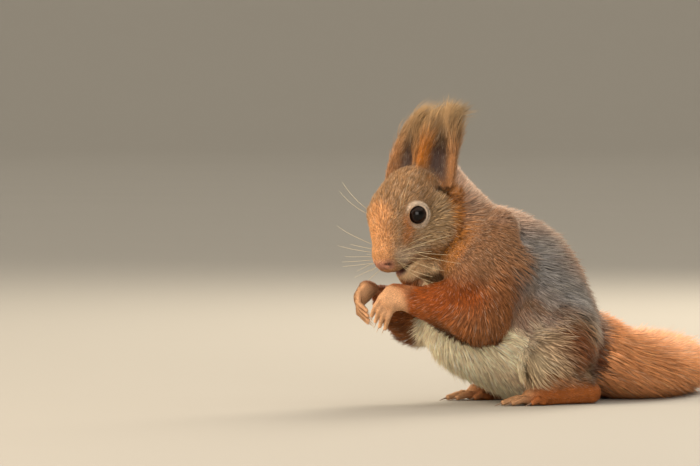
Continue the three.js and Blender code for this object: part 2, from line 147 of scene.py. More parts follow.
def colour(name, code, about):
    return FloatVectorProperty(
        name=name, description=about, subtype="COLOR", size=3, min=0, max=1, default=linear(code)
    )


def length(name, size, about):
    return FloatProperty(name=name, description=about, unit="LENGTH", min=0, default=size * MM)


def share(name, value, about):
    return FloatProperty(name=name, description=about, subtype="FACTOR", min=0, max=1, default=value)


def seed(value):
    return IntProperty(name="Seed", description="Seed of everything random in this group", default=value)


class SkinSettings(bpy.types.PropertyGroup):
    """How deep the coat is on each part of the body, which is how far the skin lies inside the CAD"""

    voxel: length("Voxel", 0.5, "Size of the voxels that the skin is modelled in")
    head: length("Head coat", 1.5, "Depth of the coat on the head")
    lower_jaw: length("Chin coat", 1.1, "Depth of the coat on the lower jaw")
    nose: length("Nose coat", 0.12, "Depth of the down on the nose pad")
    ear: length("Ear coat", 0.3, "Depth of the coat on the pinna")
    neck: length("Neck coat", 3.6, "Depth of the coat on the neck")
    trunk: length("Trunk coat", 4.8, "Depth of the coat on the back, flanks and belly")
    upper_arm: length("Upper arm coat", 3.0, "Depth of the coat on the upper arm")
    forearm: length("Forearm coat", 2.4, "Depth of the coat on the forearm")
    hand: length("Hand coat", 0.25, "Depth of the coat on the hand")
    thigh: length("Thigh coat", 4.2, "Depth of the coat on the thigh")
    shank: length("Shank coat", 3.2, "Depth of the coat on the shank")
    foot: length("Foot coat", 0.4, "Depth of the coat on the foot")
    tail: length("Tail coat", 8.5, "Depth of the brush of the tail")


class MarkingSettings(bpy.types.PropertyGroup):
    """The colours of the animal's markings"""

    back: colour("Back", "#9d806f", "Grey-brown of the back")
    flank: colour("Flank", "#8c8a8a", "Winter grey of the flank")
    shoulder: colour("Shoulder", "#a47856", "Warm brown over the shoulder")
    nape: colour("Nape", "#c29c84", "Pinkish brown behind the ears")
    belly: colour("Belly", "#ffebc6", "Cream white of the belly and chest")
    belly_edge: colour("Belly edge", "#c9b594", "Pale grey where the belly meets the thigh")
    thigh: colour("Thigh", "#c0a382", "Grey-brown of the thigh")
    thigh_band: colour("Thigh band", "#77563c", "Brown band over the thigh")
    # rump: the orange-brown that the rear of the thigh has, darkened further as painted shade
    rump: colour("Rump", "#7c3c14", "Orange-brown behind the thigh")
    # painted shade: a dark brown in the hollow beside the tail's root and low behind the thigh
    rump_low_shade: colour("Low rump", "#5a2f14", "Dark brown beside the tail's root")
    arm: colour("Arm", "#95603a", "Rufous of the arm")
    forearm: colour("Forearm", "#9c4c12", "Bright orange along the top of the forearm")
    # elbow: rufous darkened as painted shade, used under the elbow and along the underside of the forearm
    elbow: colour("Elbow", "#74431f", "Dark rufous under the elbow")
    hand: colour("Hand", "#e2ae82", "Pinkish buff of the hands")
    foot: colour("Foot", "#b3662f", "Rufous of the feet")
    toe: colour("Toe", "#c99e76", "Buff of the toes")
    crown: colour("Crown", "#94714f", "Agouti brown of the forehead and crown")
    muzzle: colour("Muzzle", "#c48a58", "Warm tan of the muzzle")
    cheek: colour("Cheek", "#a88a66", "Grey-brown of the cheek")
    stripe: colour("Stripe", "#a4622c", "Rufous in front of the eye")
    neck_band: colour("Neck band", "#bf7a38", "Rufous band down the side of the neck")
    eye_ring: colour("Eye ring", "#dcc5b0", "Pale ring round the eye")
    eye_rim: colour("Eye rim", "#3a2620", "Dark bare edge of the lids")
    pad: colour("Whisker pad", "#b39c84", "Greyish whisker pad")
    # jaw: painted shade, a dark rufous under the cheek, below the whisker pad and behind the ear
    jaw: colour("Jaw line", "#80501f", "Dark rufous under the cheek and behind the ear")
    chin: colour("Chin", "#e3bf94", "Buff of the chin")
    lip: colour("Lip", "#a8615c", "Pink of the lips")
    # mouth: the inside's own reddish colour, darkened as painted shade in the open mouth
    mouth: colour("Mouth", "#4d2422", "Dark inside of the mouth")
    nose: colour("Nose", "#b9806a", "Pinkish brown of the nose")
    # nostril: painted shade, near-black in the carved nostril openings
    nostril: colour("Nostril", "#3d1f18", "Dark of the nostrils")
    ear_back: colour("Back of the ear", "#96683c", "Brown of the back of the ear")
    ear_rim: colour("Ear rim", "#cc7a28", "Bright orange front edge of the ear")
    # back edge of the ear: its own orange-brown, lightened partly as a painted highlight of a lit rim
    ear_edge_and_highlight: colour("Back edge of the ear", "#a9764c", "Light orange-brown of the outer edge of the ear")
    # inside of the ear: the skin's own colour, darkened as painted shade in the ear's hollow
    ear_inside_and_shade: colour("Inside of the ear", "#3c251d", "Dark skin inside the ear")
    tuft: colour("Ear tuft", "#957250", "Grey-brown of the ear tufts")
    tuft_tip: colour("Tuft tips", "#c0a174", "Pale ends of the ear tufts")
    tail: colour("Tail", "#e39a66", "Orange-rufous of the tail")
    tail_under: colour("Under the tail", "#d8a67c", "Paler rufous under the tail")


class CoatSettings(bpy.types.PropertyGroup):
    """How the hairs of the coat are made"""

    seed: seed(20)
    density: share("Density", 1.0, "Share of the full number of hairs")
    clump: share("Clumping", 0.34, "How far the hairs gather into locks")
    stray: share("Stray", 0.12, "How far single hairs stray from the lie of the coat")
    ratio: FloatProperty(
        name="Length ratio", description="Length of a hair for each depth of the coat",
        default=2.3, min=1, max=6,
    )


class HardSettings(bpy.types.PropertyGroup):
    """The claws and the whiskers"""

    seed: seed(7)
    claw_root: length("Claw root", 0.55, "Radius of a foot's claw where it leaves the skin")
    hand_claw_root_size: length(
        "Hand claw root size", 0.42, "Radius of a hand's claw where it leaves the skin"
    )
    claw_tip: length("Claw tip", 0.1, "Radius of a claw's point")
    hand_claw_root: colour("Hand claw root", "#a98a76", "Colour of the hands' claws at the root")
    hand_claw_tip: colour("Hand claw tip", "#dcc9b6", "Colour of the hands' claws at the point")
    foot_claw_root: colour("Foot claw root", "#5d483c", "Colour of the feet's claws at the root")
    foot_claw_tip: colour("Foot claw tip", "#8e7766", "Colour of the feet's claws at the point")
    whisker: length("Whisker", 44, "Length of the longest whiskers")
    whisker_thick: length("Whisker root", 0.2, "Thickness of a whisker at its root, coarse enough to show")
    whisker_thin: length("Whisker tip", 0.07, "Thickness of a whisker at its end")
    whisker_root: colour("Whisker root colour", "#a8946f", "Colour of the whiskers at the root")
    whisker_tip: colour("Whisker tip colour", "#e3d5b3", "Colour of the whiskers at the end")


class StageSettings(bpy.types.PropertyGroup):
    """The camera, the floor and the lights"""

    azimuth: FloatProperty(
        name="Azimuth", description="Camera angle round the animal",
        unit="ROTATION", default=math.radians(-27),
    )
    elevation: FloatProperty(
        name="Elevation", description="Camera angle above the floor",
        unit="ROTATION", default=math.radians(1.5),
    )
    distance: FloatProperty(
        name="Distance", description="From the camera to the aim point", unit="LENGTH", default=3.08
    )
    lens: FloatProperty(name="Lens", description="Focal length in millimetres", min=1, default=330)
    floor: colour("Floor", "#a5a29c", "Colour of the floor")
    room: colour("Room", "#f0e6d6", "Colour of the light all round")
    room_strength: FloatProperty(
        name="Room light", description="Strength of the light all round", min=0, default=1.25
    )


# ---------------------------------------------------------------- clay, a block of voxels to model in

CLAY_MARGIN = 8  # voxels round the animal
CLOSING = 0.25  # fills the thin cuts between the CAD's solids
NEAR_BAND = 3  # voxels measured round each solid
FINE_BAND = 5  # voxels of exact distance on each side of the surface
DEEP_REACH = 14.0  # how deep inside the distance is known
FADED = 2.2  # a soft mark has died away at this many times its reach


def merged(node):
    """The corners and triangles of a CAD node, with its loose triangles merged."""
    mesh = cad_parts[node].data
    points = np.empty(len(mesh.vertices) * 3, np.float32)
    mesh.vertices.foreach_get("co", points)
    mesh.calc_loop_triangles()
    corners = np.empty(len(mesh.loop_triangles) * 3, np.int32)
    mesh.loop_triangles.foreach_get("vertices", corners)
    places, index = np.unique(np.round(points.reshape(-1, 3) / MM, 4), axis=0, return_inverse=True)
    faces = index.reshape(-1)[corners].reshape(-1, 3)
    whole = (faces[:, 0] != faces[:, 1]) & (faces[:, 1] != faces[:, 2]) & (faces[:, 0] != faces[:, 2])
    return places.astype(np.float32), faces[whole].astype(np.uint32)


class Clay:
    """A block of voxels that holds the distance to a surface, negative inside it."""

    def __init__(self, low, high, voxel, fill=100.0):
        self.voxel = voxel
        self.first = np.floor(np.array(low) / voxel).astype(int) - CLAY_MARGIN
        size = np.ceil(np.array(high) / voxel).astype(int) + CLAY_MARGIN - self.first
        self.values = np.full(tuple(size), fill, np.float32)
        self.transform = vdb.createLinearTransform(voxelSize=voxel)

    def measure(self, points, faces, band):
        """The distance to a closed surface in the part of the block round it."""
        kind = "triangles" if faces.shape[1] == 3 else "quads"
        grid = vdb.FloatGrid.createLevelSetFromPolygons(
            points, **{kind: faces}, transform=self.transform, halfWidth=band
        )
        first = np.maximum(np.floor(points.min(0) / self.voxel).astype(int) - int(band), self.first)
        last = np.ceil(points.max(0) / self.voxel).astype(int) + int(band)
        last = np.minimum(last, self.first + self.values.shape)
        values = np.empty(tuple(last - first), np.float32)
        grid.copyToArray(values, ijk=tuple(int(i) for i in first))
        return tuple(slice(a, b) for a, b in zip(first - self.first, last - self.first)), values

    def grid(self, offset=0.0):
        """The values less an offset as a sparse grid."""
        band = 3 * self.voxel
        grid = vdb.FloatGrid(band)
        grid.transform = self.transform
        near = np.clip(self.values - offset, -band, band)
        grid.copyFromArray(near, ijk=tuple(int(i) for i in self.first))
        return grid

    def quads(self, offset):
        """The surface where the values equal an offset."""
        return self.grid(offset).convertToQuads(0.0)

    def part(self, spots, values):
        """A block over some of this block's voxels."""
        block = copy.copy(self)
        block.first = self.first + np.array([spot.start or 0 for spot in spots])
        block.values = values
        return block

    def places(self, low, high):
        """The voxels inside a box, and where they are."""
        low = np.maximum(np.floor(low / self.voxel).astype(int) - self.first, 0)
        high = np.minimum(np.ceil(high / self.voxel).astype(int) - self.first + 1, self.values.shape)
        axes = [(np.arange(a, b) + f) * self.voxel for a, b, f in zip(low, high, self.first)]
        places = np.stack(np.meshgrid(*axes, indexing="ij"), axis=-1)
        return tuple(slice(a, b) for a, b in zip(low, high)), places

    def window(self, path, reach):
        """The voxels within reach of a path, and their distance to it."""
        spots, places = self.places(path.min(0) - reach, path.max(0) + reach)
        return spots, path_distance(places.reshape(-1, 3), path).reshape(places.shape[:3])

    def press(self, path, width, height):
        """Raises a rounded ridge of a height along a path, or presses a groove where it is negative."""
        spots, away = self.window(path, width * FADED)
        self.values[spots] -= height * np.exp(-((away / width) ** 2))

    def carve(self, path, radius, softness):
        """Takes a round channel out along a path."""
        spots, away = self.window(path, radius + 2 * softness + 2)
        self.values[spots] = -melted(-self.values[spots], away - radius, softness)

    def lay(self, path, radius, softness):
        """Adds a round roll along a path, which melts into what is there."""
        spots, away = self.window(path, radius + 2 * softness + 2)
        self.values[spots] = melted(self.values[spots], away - radius, softness)


def melted(a, b, width):
    share = np.maximum(width - np.abs(a - b), 0) / width
    return np.minimum(a, b) - share * share * width / 4


def path_distance(points, path):
    """How far each point is from a path of straight stretches."""
    if len(path) == 1:
        return np.linalg.norm(points - path[0], axis=1)
    nearest = np.full(len(points), np.inf)
    for start, end in zip(path[:-1], path[1:]):
        along = end - start
        t = np.clip((points - start) @ along / max(along @ along, 1e-9), 0, 1)
        nearest = np.minimum(nearest, np.linalg.norm(points - start - t[:, None] * along, axis=1))
    return nearest


def blurred(values, sigma):
    """Gaussian blur of a block, sigma in voxels."""
    reach = int(math.ceil(2.5 * sigma))
    weights = np.exp(-0.5 * (np.arange(-reach, reach + 1) / sigma) ** 2)
    weights = (weights / weights.sum()).astype(np.float32)
    for axis in range(3):
        padded = np.pad(values, [(reach, reach) if k == axis else (0, 0) for k in range(3)], mode="edge")
        size = values.shape[axis]
        total = np.zeros_like(values)
        for k, weight in enumerate(weights):
            total += weight * np.take(padded, np.arange(k, k + size), axis=axis)
        values = total
    return values


def resampled(block, onto):
    """The values of a coarse block at the voxels of a finer one."""
    values = block.values
    for axis in range(3):
        places = (np.arange(onto.values.shape[axis]) + onto.first[axis]) * onto.voxel / block.voxel
        places = np.clip(places - block.first[axis], 0, values.shape[axis] - 1.001)
        low = places.astype(int)
        share = (places - low).astype(np.float32).reshape([-1 if k == axis else 1 for k in range(3)])
        values = np.take(values, low, axis) * (1 - share) + np.take(values, low + 1, axis) * share
    return values


def sampled(block, points):
    """The values of a block at points, between its voxels."""
    places = points / block.voxel - block.first
    places = np.clip(places, 0, np.array(block.values.shape) - 1.001)
    low = places.astype(int)
    share = places - low
    total = np.zeros(len(points))
    for corner in np.ndindex(2, 2, 2):
        weight = np.prod(np.where(corner, share, 1 - share), axis=1)
        total += weight * block.values[tuple((low + corner).T)]
    return total


# ---------------------------------------------------------------- skin

SKIN_PARTS = (
    "head", "lower_jaw", "nose", "ear", "neck", "trunk",
    "upper_arm", "forearm", "hand", "thigh", "shank", "foot", "tail",
)
FLESH = [
    name for name in sorted(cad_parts)
    if name.startswith(SKIN_PARTS) and "claw" not in name and "tuft" not in name
]
COARSE_VOXEL = 1.0
DEPTH_BLUR = 2.6  # how softly one depth of coat runs into the next
EYE_GAZE = (0.42, 0.88, 0.17)  # forward, outwards, up
LID = 0.5  # thickness of the lids
EYE_OPENING = 4.15  # radius of the opening between the lids
SKIN_ADAPTIVITY = 0.012  # how far flat places are thinned out

# Places where the coat is thinner (or thicker, below zero) than on the rest of its part:
# path in the head's frame, reach, share of the depth that goes
THIN_SPOTS = {
    "muzzle": ([(26, 0, -6), (16, 0, -3)], 9, 0.55),
    "lips": ([(22, 2.5, -14), (13, 7, -17)], 4, 0.6),
    "lids": ([(1.5, 14.5, 0.8)], 6.5, 0.85),
    "cheek": ([(-8, 15, -11), (-13, 12, -16)], 9, -0.9),
}


def part_of(node):
    return max((part for part in SKIN_PARTS if node.startswith(part)), key=len)


def eye_axes(side):
    """The eye's centre, with its forward axis along the gaze."""
    ahead, out, above = EYE_GAZE
    gaze = HEAD.way(ahead, side * out, above)
    return Axes(centre(f"eye_{NAMES[side]}"), gaze, np.cross(HEAD.up, gaze))


def eye_radius():
    low, high = node_box("eye_left")
    return (high - low).max() / 2


def ring(axes, ahead, radius, count=24):
    """A closed circle round the forward axis of a frame."""
    turns = np.linspace(0, 2 * math.pi, count + 1)
    return np.array([axes.place(ahead, radius * math.cos(t), radius * math.sin(t)) for t in turns])


def on_head(path, side=1):
    return np.array([HEAD.place(a, side * b, c) for a, b, c in path])


# The pinna, as the CAD has it: root in the head's frame, the turn of its opening, and the way it grows
EAR_ROOT = {1: (-19.6, 11.8, 0), -1: (-19, 12.3, 0.6)}
EAR_TURN = {1: math.radians(33), -1: math.radians(2)}
EAR_WAY = {1: (0.16, 0.02, 0.98), -1: (0.22, -0.05, 0.97)}
EAR_SUNK = 8.0
EAR_HEIGHT = 36.5
EAR_HALF_WIDTH = 8.8
EAR_HALF_THICKNESS = 0.8
EAR_CURL = 6.5


def ear_axes(side):
    """Forward runs up the pinna, left across it, and up out of its opening."""
    facing = math.atan2(-HEAD.forward[1], -HEAD.forward[0]) + side * EAR_TURN[side]
    opening = np.array([-math.cos(facing), -math.sin(facing), 0])
    way = unit(np.array(EAR_WAY[side]))
    across = unit(np.cross(opening, way))
    root = HEAD.place(EAR_ROOT[side][0], side * EAR_ROOT[side][1], EAR_ROOT[side][2])
    return Axes(root - EAR_SUNK * way, way, across)


def pinna_width(share):
    """Half the width of the pinna at a share of its height."""
    return EAR_HALF_WIDTH * (2 * np.sqrt(share * (1 - share))) ** 0.6 * (1.1 - 0.28 * share)


def lay_pinna(clay, side):
    """Adds a leaf with a rounded edge, bent across into a scoop."""
    axes = ear_axes(side)
    middle = axes.place(EAR_HEIGHT / 2, 0, 0)
    spots, places = clay.places(middle - 0.62 * EAR_HEIGHT, middle + 0.62 * EAR_HEIGHT)
    up, across, out = axes.inside(places.reshape(-1, 3)).T
    outline = (1 - np.cos(np.linspace(0, math.pi, 32))) / 2
    edge = np.stack([outline * EAR_HEIGHT, pinna_width(outline), 0 * outline], axis=1)
    flat = np.stack([up, np.abs(across), 0 * up], axis=1)
    share = np.clip(up / EAR_HEIGHT, 1e-4, 1 - 1e-4)
    wide = pinna_width(share)
    beyond = (np.abs(across) > wide) | (up < 0) | (up > EAR_HEIGHT)
    beyond = np.where(beyond, path_distance(flat, edge), 0)
    curl = EAR_CURL * (1 - 0.62 * share)
    lean = np.clip(across / wide, -1, 1)
    spread = 2 * np.sqrt(share * (1 - share))
    slope = 2 * curl * spread * lean / wide
    off = (out - curl * (lean**2 * spread - 0.5)) / np.sqrt(1 + slope**2)
    sheet = np.hypot(beyond, off) - EAR_HALF_THICKNESS
    clay.values[spots] = melted(clay.values[spots], sheet.reshape(places.shape[:3]), 2.0)


def closed_body(settings):
    """As blocks of voxels: the distance to the closed body, the coat's depth, the distance to each node."""
    low, high = (np.array(corner) / MM for corner in CAD_BOX)
    body = Clay(low, high, settings.voxel / MM)
    coarse = Clay(low, high, COARSE_VOXEL)
    depth = Clay(low, high, COARSE_VOXEL, fill=0)
    nodes = {}
    for node in FLESH:
        points, faces = merged(node)
        if part_of(node) != "ear":
            spots, values = body.measure(points, faces, NEAR_BAND)
            body.values[spots] = np.minimum(body.values[spots], values)
        spots, values = coarse.measure(points, faces, DEEP_REACH / COARSE_VOXEL)
        nearest = values < coarse.values[spots]
        coarse.values[spots][nearest] = values[nearest]
        depth.values[spots][nearest] = math.log(getattr(settings, part_of(node)) / MM)
        nodes[node] = (spots, values)
    depth.values = np.exp(blurred(depth.values, DEPTH_BLUR / COARSE_VOXEL))
    for path, reach, share in THIN_SPOTS.values():
        for side in SIDES.values():
            spots, away = depth.window(on_head(path, side), reach * FADED)
            depth.values[spots] *= 1 - share * np.exp(-((away / reach) ** 2))
    points, quads = body.quads(CLOSING)
    spots, near = body.measure(points, quads, FINE_BAND)
    body.values[:] = FINE_BAND * body.voxel
    body.values[spots] = near
    spots, wide = coarse.measure(points, quads, DEEP_REACH / COARSE_VOXEL)
    coarse.values[:] = DEEP_REACH
    coarse.values[spots] = wide
    deep = resampled(coarse, body)
    fade = np.clip(-body.values - 1, 0, 1)
    body.values += fade * (deep - body.values) + CLOSING
    coarse.values += CLOSING
    return body, coarse, depth, nodes


def sculpt_eyes(clay):
    for side in SIDES.values():
        eye = eye_axes(side)
        radius = eye_radius()
        clay.lay(np.array([eye.at]), radius + LID, 3.2)
        clay.press(ring(eye, 3.1, 4.6), 0.6, 0.25)  # the edge of the lids
        clay.press(ring(eye, 1.2, 6.7), 0.8, -0.3)  # the fold round them
        clay.press(on_head([(7.5, 11.5, -2.3), (5, 13.4, -1.4)], side), 0.7, -0.5)  # corner of the eye
        clay.carve(np.array([eye.place(2.3, 0, 0), eye.place(radius + 6, 0, 0)]), EYE_OPENING, 0.3)


def sculpt_muzzle(clay):
    clay.press(on_head([(28, 0, -6.6), (26, 0, -10), (22, 0, -14)]), 0.7, -1.0)  # cleft of the upper lip
    clay.press(on_head([(27.4, 0, -4.6)]), 1.9, 0.5)  # tip of the nose
    clay.lay(on_head([(18.6, 0, -21.2), (12, 0, -24.2), (4, 0, -25)]), 3.5, 4.5)  # chin
    for side in SIDES.values():
        wing = [(27.4, 1.8, -4.6), (25.6, 4.0, -5.2), (23.8, 4.6, -7.2)]
        clay.press(on_head(wing, side), 0.9, 0.65)  # of the nose
        clay.carve(on_head([(23.4, 1.6, -7.6), (26.4, 4.6, -6.4)], side), 0.8, 0.5)  # nostril
        clay.carve(on_head([(25.4, 4.4, -6.9), (23.6, 5.8, -6.6)], side), 0.45, 0.4)  # its slit
        for row in range(3):  # rows of whisker roots
            height = -8 - 1.7 * row
            clay.press(on_head([(21, 7, height), (12, 10, height - 0.6)], side), 0.5, -0.16)
        upper_lip = [(21.5, 2.4, -14.6), (16, 5.6, -16.2), (12, 7, -17)]
        lower_lip = [(20.4, 0.8, -18.9), (17.5, 3.8, -18.6), (12.8, 6.2, -18.2)]
        jaw_line = [(-13, 15, -20), (-4, 14, -23), (5, 12, -23), (10, 8, -24)]
        clay.press(on_head([(12, 7.6, -17.4), (7, 9.4, -16.2)], side), 0.8, -0.6)  # the mouth's corner
        clay.press(on_head(upper_lip, side), 0.8, 0.4)
        clay.lay(on_head(lower_lip, side), 1.1, 1.4)
        clay.press(on_head(jaw_line, side), 2.4, -1.7)


def sculpt_ears(clay):
    clay.lay(on_head([(-31.4, 0, -8.8), (-30.3, 0, -17.2), (-29.2, 0, -26)]), 6.4, 11)  # the nape
    for side in SIDES.values():
        clay.lay(on_head([(-23, 14, -6), (-21.8, 14.6, -11)], side), 1.5, 3)  # back of the ear's root
        clay.carve(on_head([(-18.8, 17, -5.5), (-16, 10, -5)], side), 2.0, 1.2)  # ear canal
        clay.press(on_head([(-14.6, 14.5, -5), (-13.5, 14.2, 1)], side), 1.2, 0.7)  # fold in front of it


# The hands, as the CAD has them: a frame between the palms, and in it the wrist, the ways of the palm,
# the thumb and the finger tips, each forward, outwards and up
HAND_YAW = math.radians(16)
HANDS = Axes(
    (-88.2, -4, 50),
    (-math.cos(HAND_YAW), -math.sin(HAND_YAW), 0),
    (math.sin(HAND_YAW), -math.cos(HAND_YAW), 0),
)
WRIST = {1: (-8.5, 9.2, 5.1), -1: (-7.5, 9.2, 6.3)}
PALM_WAY = (0.75, 0, -0.65)
BACK_OF_HAND = (0.35, 0.85, 0.4)
THUMB_WAY = (0.5525, -0.5275, 0.6375)
CURL_WAY = {1: (-0.1, -0.5, -0.8), -1: (-0.35, -0.62, -0.7)}
PALM_LENGTH = 9.5
FINGERS = 4
FINGER_LENGTH = 9.5
FINGER_SPACING = 2.35


def finger_lines(side):
    """The middle lines of a hand's fingers, from the knuckle to the tip, and the way its back faces."""
    def way(ahead, outwards, above):
        return HANDS.way(ahead, side * outwards, above)

    ahead, outwards, above = WRIST[side]
    knuckles = HANDS.place(ahead, side * outwards, above) + PALM_LENGTH * way(*PALM_WAY)
    lines = []
    for k in range(FINGERS):
        rank = (FINGERS - 1) / 2 - k
        reach = FINGER_LENGTH * (1 - 0.09 * abs(rank + 0.3))
        start = knuckles + rank * FINGER_SPACING * way(*THUMB_WAY)
        bend = start + reach * (0.32 * way(*PALM_WAY) + 0.3 * way(*CURL_WAY[side]))
        lines.append(np.array([start, bend, bend + 0.62 * reach * way(*CURL_WAY[side])]))
    return lines, way(*BACK_OF_HAND)


FINGER_RADII = (1.2, 0.92)  # at the knuckle and at the tip
FINGER_FAN = 0.55  # how far the fingers spread towards their tips


def fanned_fingers(side):
    """The fingers' middle lines fanned out."""
    lines, _ = finger_lines(side)
    across = unit(lines[0][0] - lines[-1][0])
    fanned = []
    for k, (start, bend, tip) in enumerate(lines):
        fan = ((FINGERS - 1) / 2 - k) * FINGER_FAN * across
        fanned.append(np.array([start, bend + 0.5 * fan, tip + fan + 0.8 * unit(tip - bend)]))
    return fanned


def sculpt_hands(clay):
    """Takes the fused fingers off and lays single ones."""
    for side in SIDES.values():
        lines, back = finger_lines(side)
        for start, bend, tip in lines:
            clay.carve(np.array([0.45 * start + 0.55 * bend, bend, 1.5 * tip - 0.5 * bend]), 2.1, 0.8)
        root, end = FINGER_RADII
        for start, bend, tip in fanned_fingers(side):
            clay.lay(np.array([start - 0.9 * back + 1.5 * unit(start - bend), bend]), root, 1.2)
            clay.lay(np.array([bend, (bend + tip) / 2]), (root + end) / 2, 0.3)
            clay.lay(np.array([(bend + tip) / 2, tip]), end, 0.3)
            clay.press(start[None] + 1.2 * back, 1.0, 0.25)  # knuckle
            clay.press(bend[None] + 0.9 * back, 0.8, 0.2)


TOES = 5
TOE_ROOT = (-15, -28, 1.9)  # of the left foot's middle toe
TOE_RADII = (1.5, 1.3, 1.1)  # at the instep, half way along and at the tip


def toe_lines(side):
    """The middle lines of the toes of one foot, from the instep to the tip."""
    x, y, z = TOE_ROOT
    lines = []
    for k in range(TOES):
        rank = k - (TOES - 1) / 2
        reach = 15 - 2.1 * rank * rank + (k == 0)
        root = np.array([x + 0.9 * rank * rank, side * (y - 2.9 * rank), z])
        tip = root + [-reach, -side * 0.1 * rank * reach, -0.35]
        lines.append(np.array([root, (root + tip) / 2 + [0, 0, 1.2], tip]))
    return lines


def sculpt_feet(clay):
    """Parts the toes."""
    for side in SIDES.values():
        for _, arch, tip in toe_lines(side):
            clay.carve(np.array([0.9 * arch + 0.1 * tip, 1.2 * tip - 0.2 * arch]), 2.3, 0.8)
        first, second, last = TOE_RADII
        for root, arch, tip in toe_lines(side):
            clay.lay(np.array([root, arch]), first, 0.8)
            clay.lay(np.array([arch, (arch + tip) / 2]), second, 0.3)
            clay.lay(np.array([(arch + tip) / 2, tip]), last, 0.3)
            clay.press(arch[None] + [0, 0, 1.2], 0.9, 0.25)


SMOOTH_FROM, SMOOTH_TO = 0.9, 2.2  # the deeper the coat, the softer the skin under it
DEEP_BLUR, MERGE_BLUR, SKIN_BLUR = 2.4, 4.5, 0.8  # in voxels: under deep coat, where limbs merge, all over
# Where a limb runs into the body without an edge: path on the left side, reach
MERGES = (
    ([(-46, -26, 62), (-40, -27, 70), (-30, -27, 77)], 10),
    ([(-26, -25, 74), (-20, -28, 60), (-24, -28, 46)], 10),
    ([(-8, -30, 47), (6, -30, 47), (16, -24, 44)], 9),
    ([(20, -22, 24), (26, -14, 22)], 7),
)
# Rolls that fill the body out: path, radius, softness
FILLS = (
    ([(18, 0, 32), (34, 2, 29), (50, 8, 20)], 7, 6),  # root of the tail
    ([(76, 24, 12), (100, 54, 11), (114, 97, 11)], 3.4, 6),  # its core
    ([(-60, -21, 52), (-53, -23.5, 56), (-45.5, -25, 64)], 5.0, 6),  # bend of the left elbow
    ([(-46, -24.5, 62), (-40, -25, 70), (-30, -24, 77)], 5.5, 6),  # front of the left shoulder
    ([(-50, -20, 68), (-40, -21, 76), (-28, -20, 85)], 6.0, 9),
    ([(-48, 21, 68), (-38, 21, 77), (-28, 19, 85)], 6.5, 9),  # and of the right one
    # underside of the forearm
    ([(-75, -15, 50), (-68, -18.5, 47), (-60, -21.5, 43.5), (-50, -25, 41)], 4.0, 6),
)


def skin_clay(settings):
    """The skin as clay, and as blocks the coat's depth and the distances to the flesh and to its nodes."""
    body, coarse, depth, nodes = closed_body(settings)
    flesh = coarse.part(np.s_[0:, 0:, 0:], coarse.values)
    coat = resampled(depth, body)
    coarse.values = blurred(coarse.values + depth.values, DEEP_BLUR)
    softer = blurred(coarse.values, MERGE_BLUR)
    for path, reach in MERGES:
        for side in SIDES.values():
            spots, away = coarse.window(np.array([(x, side * y, z) for x, y, z in path], float), reach * 2)
            share = np.exp(-((away / reach) ** 4))
            coarse.values[spots] += share * (softer[spots] - coarse.values[spots])
    soft = np.clip((coat - SMOOTH_FROM) / (SMOOTH_TO - SMOOTH_FROM), 0, 1)
    body.values += coat
    body.values += soft * (resampled(coarse, body) - body.values)
    for path, radius, softness in FILLS:
        body.lay(np.array(path, float), radius, softness)
    for side in SIDES.values():
        lay_pinna(body, side)
    sculpt_eyes(body)
    sculpt_muzzle(body)
    sculpt_ears(body)
    body.values = blurred(body.values, SKIN_BLUR)
    sculpt_hands(body)
    sculpt_feet(body)
    return body, depth, flesh, nodes


def new_mesh(name, points, faces, material):
    """A mesh object from points in millimetres and a list of arrays of faces."""
    mesh = bpy.data.meshes.new(name)
    sizes = np.concatenate([np.full(len(group), group.shape[1]) for group in faces])
    corners = np.concatenate([group.reshape(-1) for group in faces])
    mesh.vertices.add(len(points))
    mesh.vertices.foreach_set("co", (points * MM).astype(np.float32).reshape(-1))
    mesh.loops.add(len(corners))
    mesh.loops.foreach_set("vertex_index", corners.astype(np.int32))
    mesh.polygons.add(len(sizes))
    starts = np.concatenate([[0], np.cumsum(sizes)[:-1]])
    mesh.polygons.foreach_set("loop_start", starts.astype(np.int32))
    mesh.update(calc_edges=True)
    mesh.validate()
    mesh.shade_smooth()
    mesh.materials.append(material)
    piece = bpy.data.objects.new(name, mesh)
    bpy.context.scene.collection.objects.link(piece)
    return piece


# For each kind of attribute: what its values are called, and how many numbers each has
ATTRIBUTE_FIELDS = {
    "FLOAT": ("value", 1), "INT": ("value", 1), "FLOAT_VECTOR": ("vector", 3), "FLOAT_COLOR": ("color", 4),
}


def write_attribute(mesh, name, kind, values):
    field, _ = ATTRIBUTE_FIELDS[kind]
    values = np.asarray(values, np.int32 if kind == "INT" else np.float32)
    mesh.attributes.new(name, kind, "POINT").data.foreach_set(field, values.reshape(-1))


def read_attribute(mesh, name, kind):
    field, width = ATTRIBUTE_FIELDS[kind]
    values = np.empty(len(mesh.vertices) * width, np.int32 if kind == "INT" else np.float32)
    mesh.attributes[name].data.foreach_get(field, values)
    return values.reshape(-1, width) if width > 1 else values


def mesh_points(mesh):
    points = np.empty(len(mesh.vertices) * 3, np.float32)
    mesh.vertices.foreach_get("co", points)
    return points.reshape(-1, 3) / MM


def mesh_normals(mesh):
    normals = np.empty(len(mesh.vertices) * 3, np.float32)
    mesh.vertex_normals.foreach_get("vector", normals)
    return normals.reshape(-1, 3)


def edges_of(faces):
    pairs = np.concatenate([
        np.stack([group[:, k], group[:, (k + 1) % group.shape[1]]], axis=1)
        for group in faces for k in range(group.shape[1])
    ])
    return np.unique(np.sort(pairs, axis=1), axis=0)


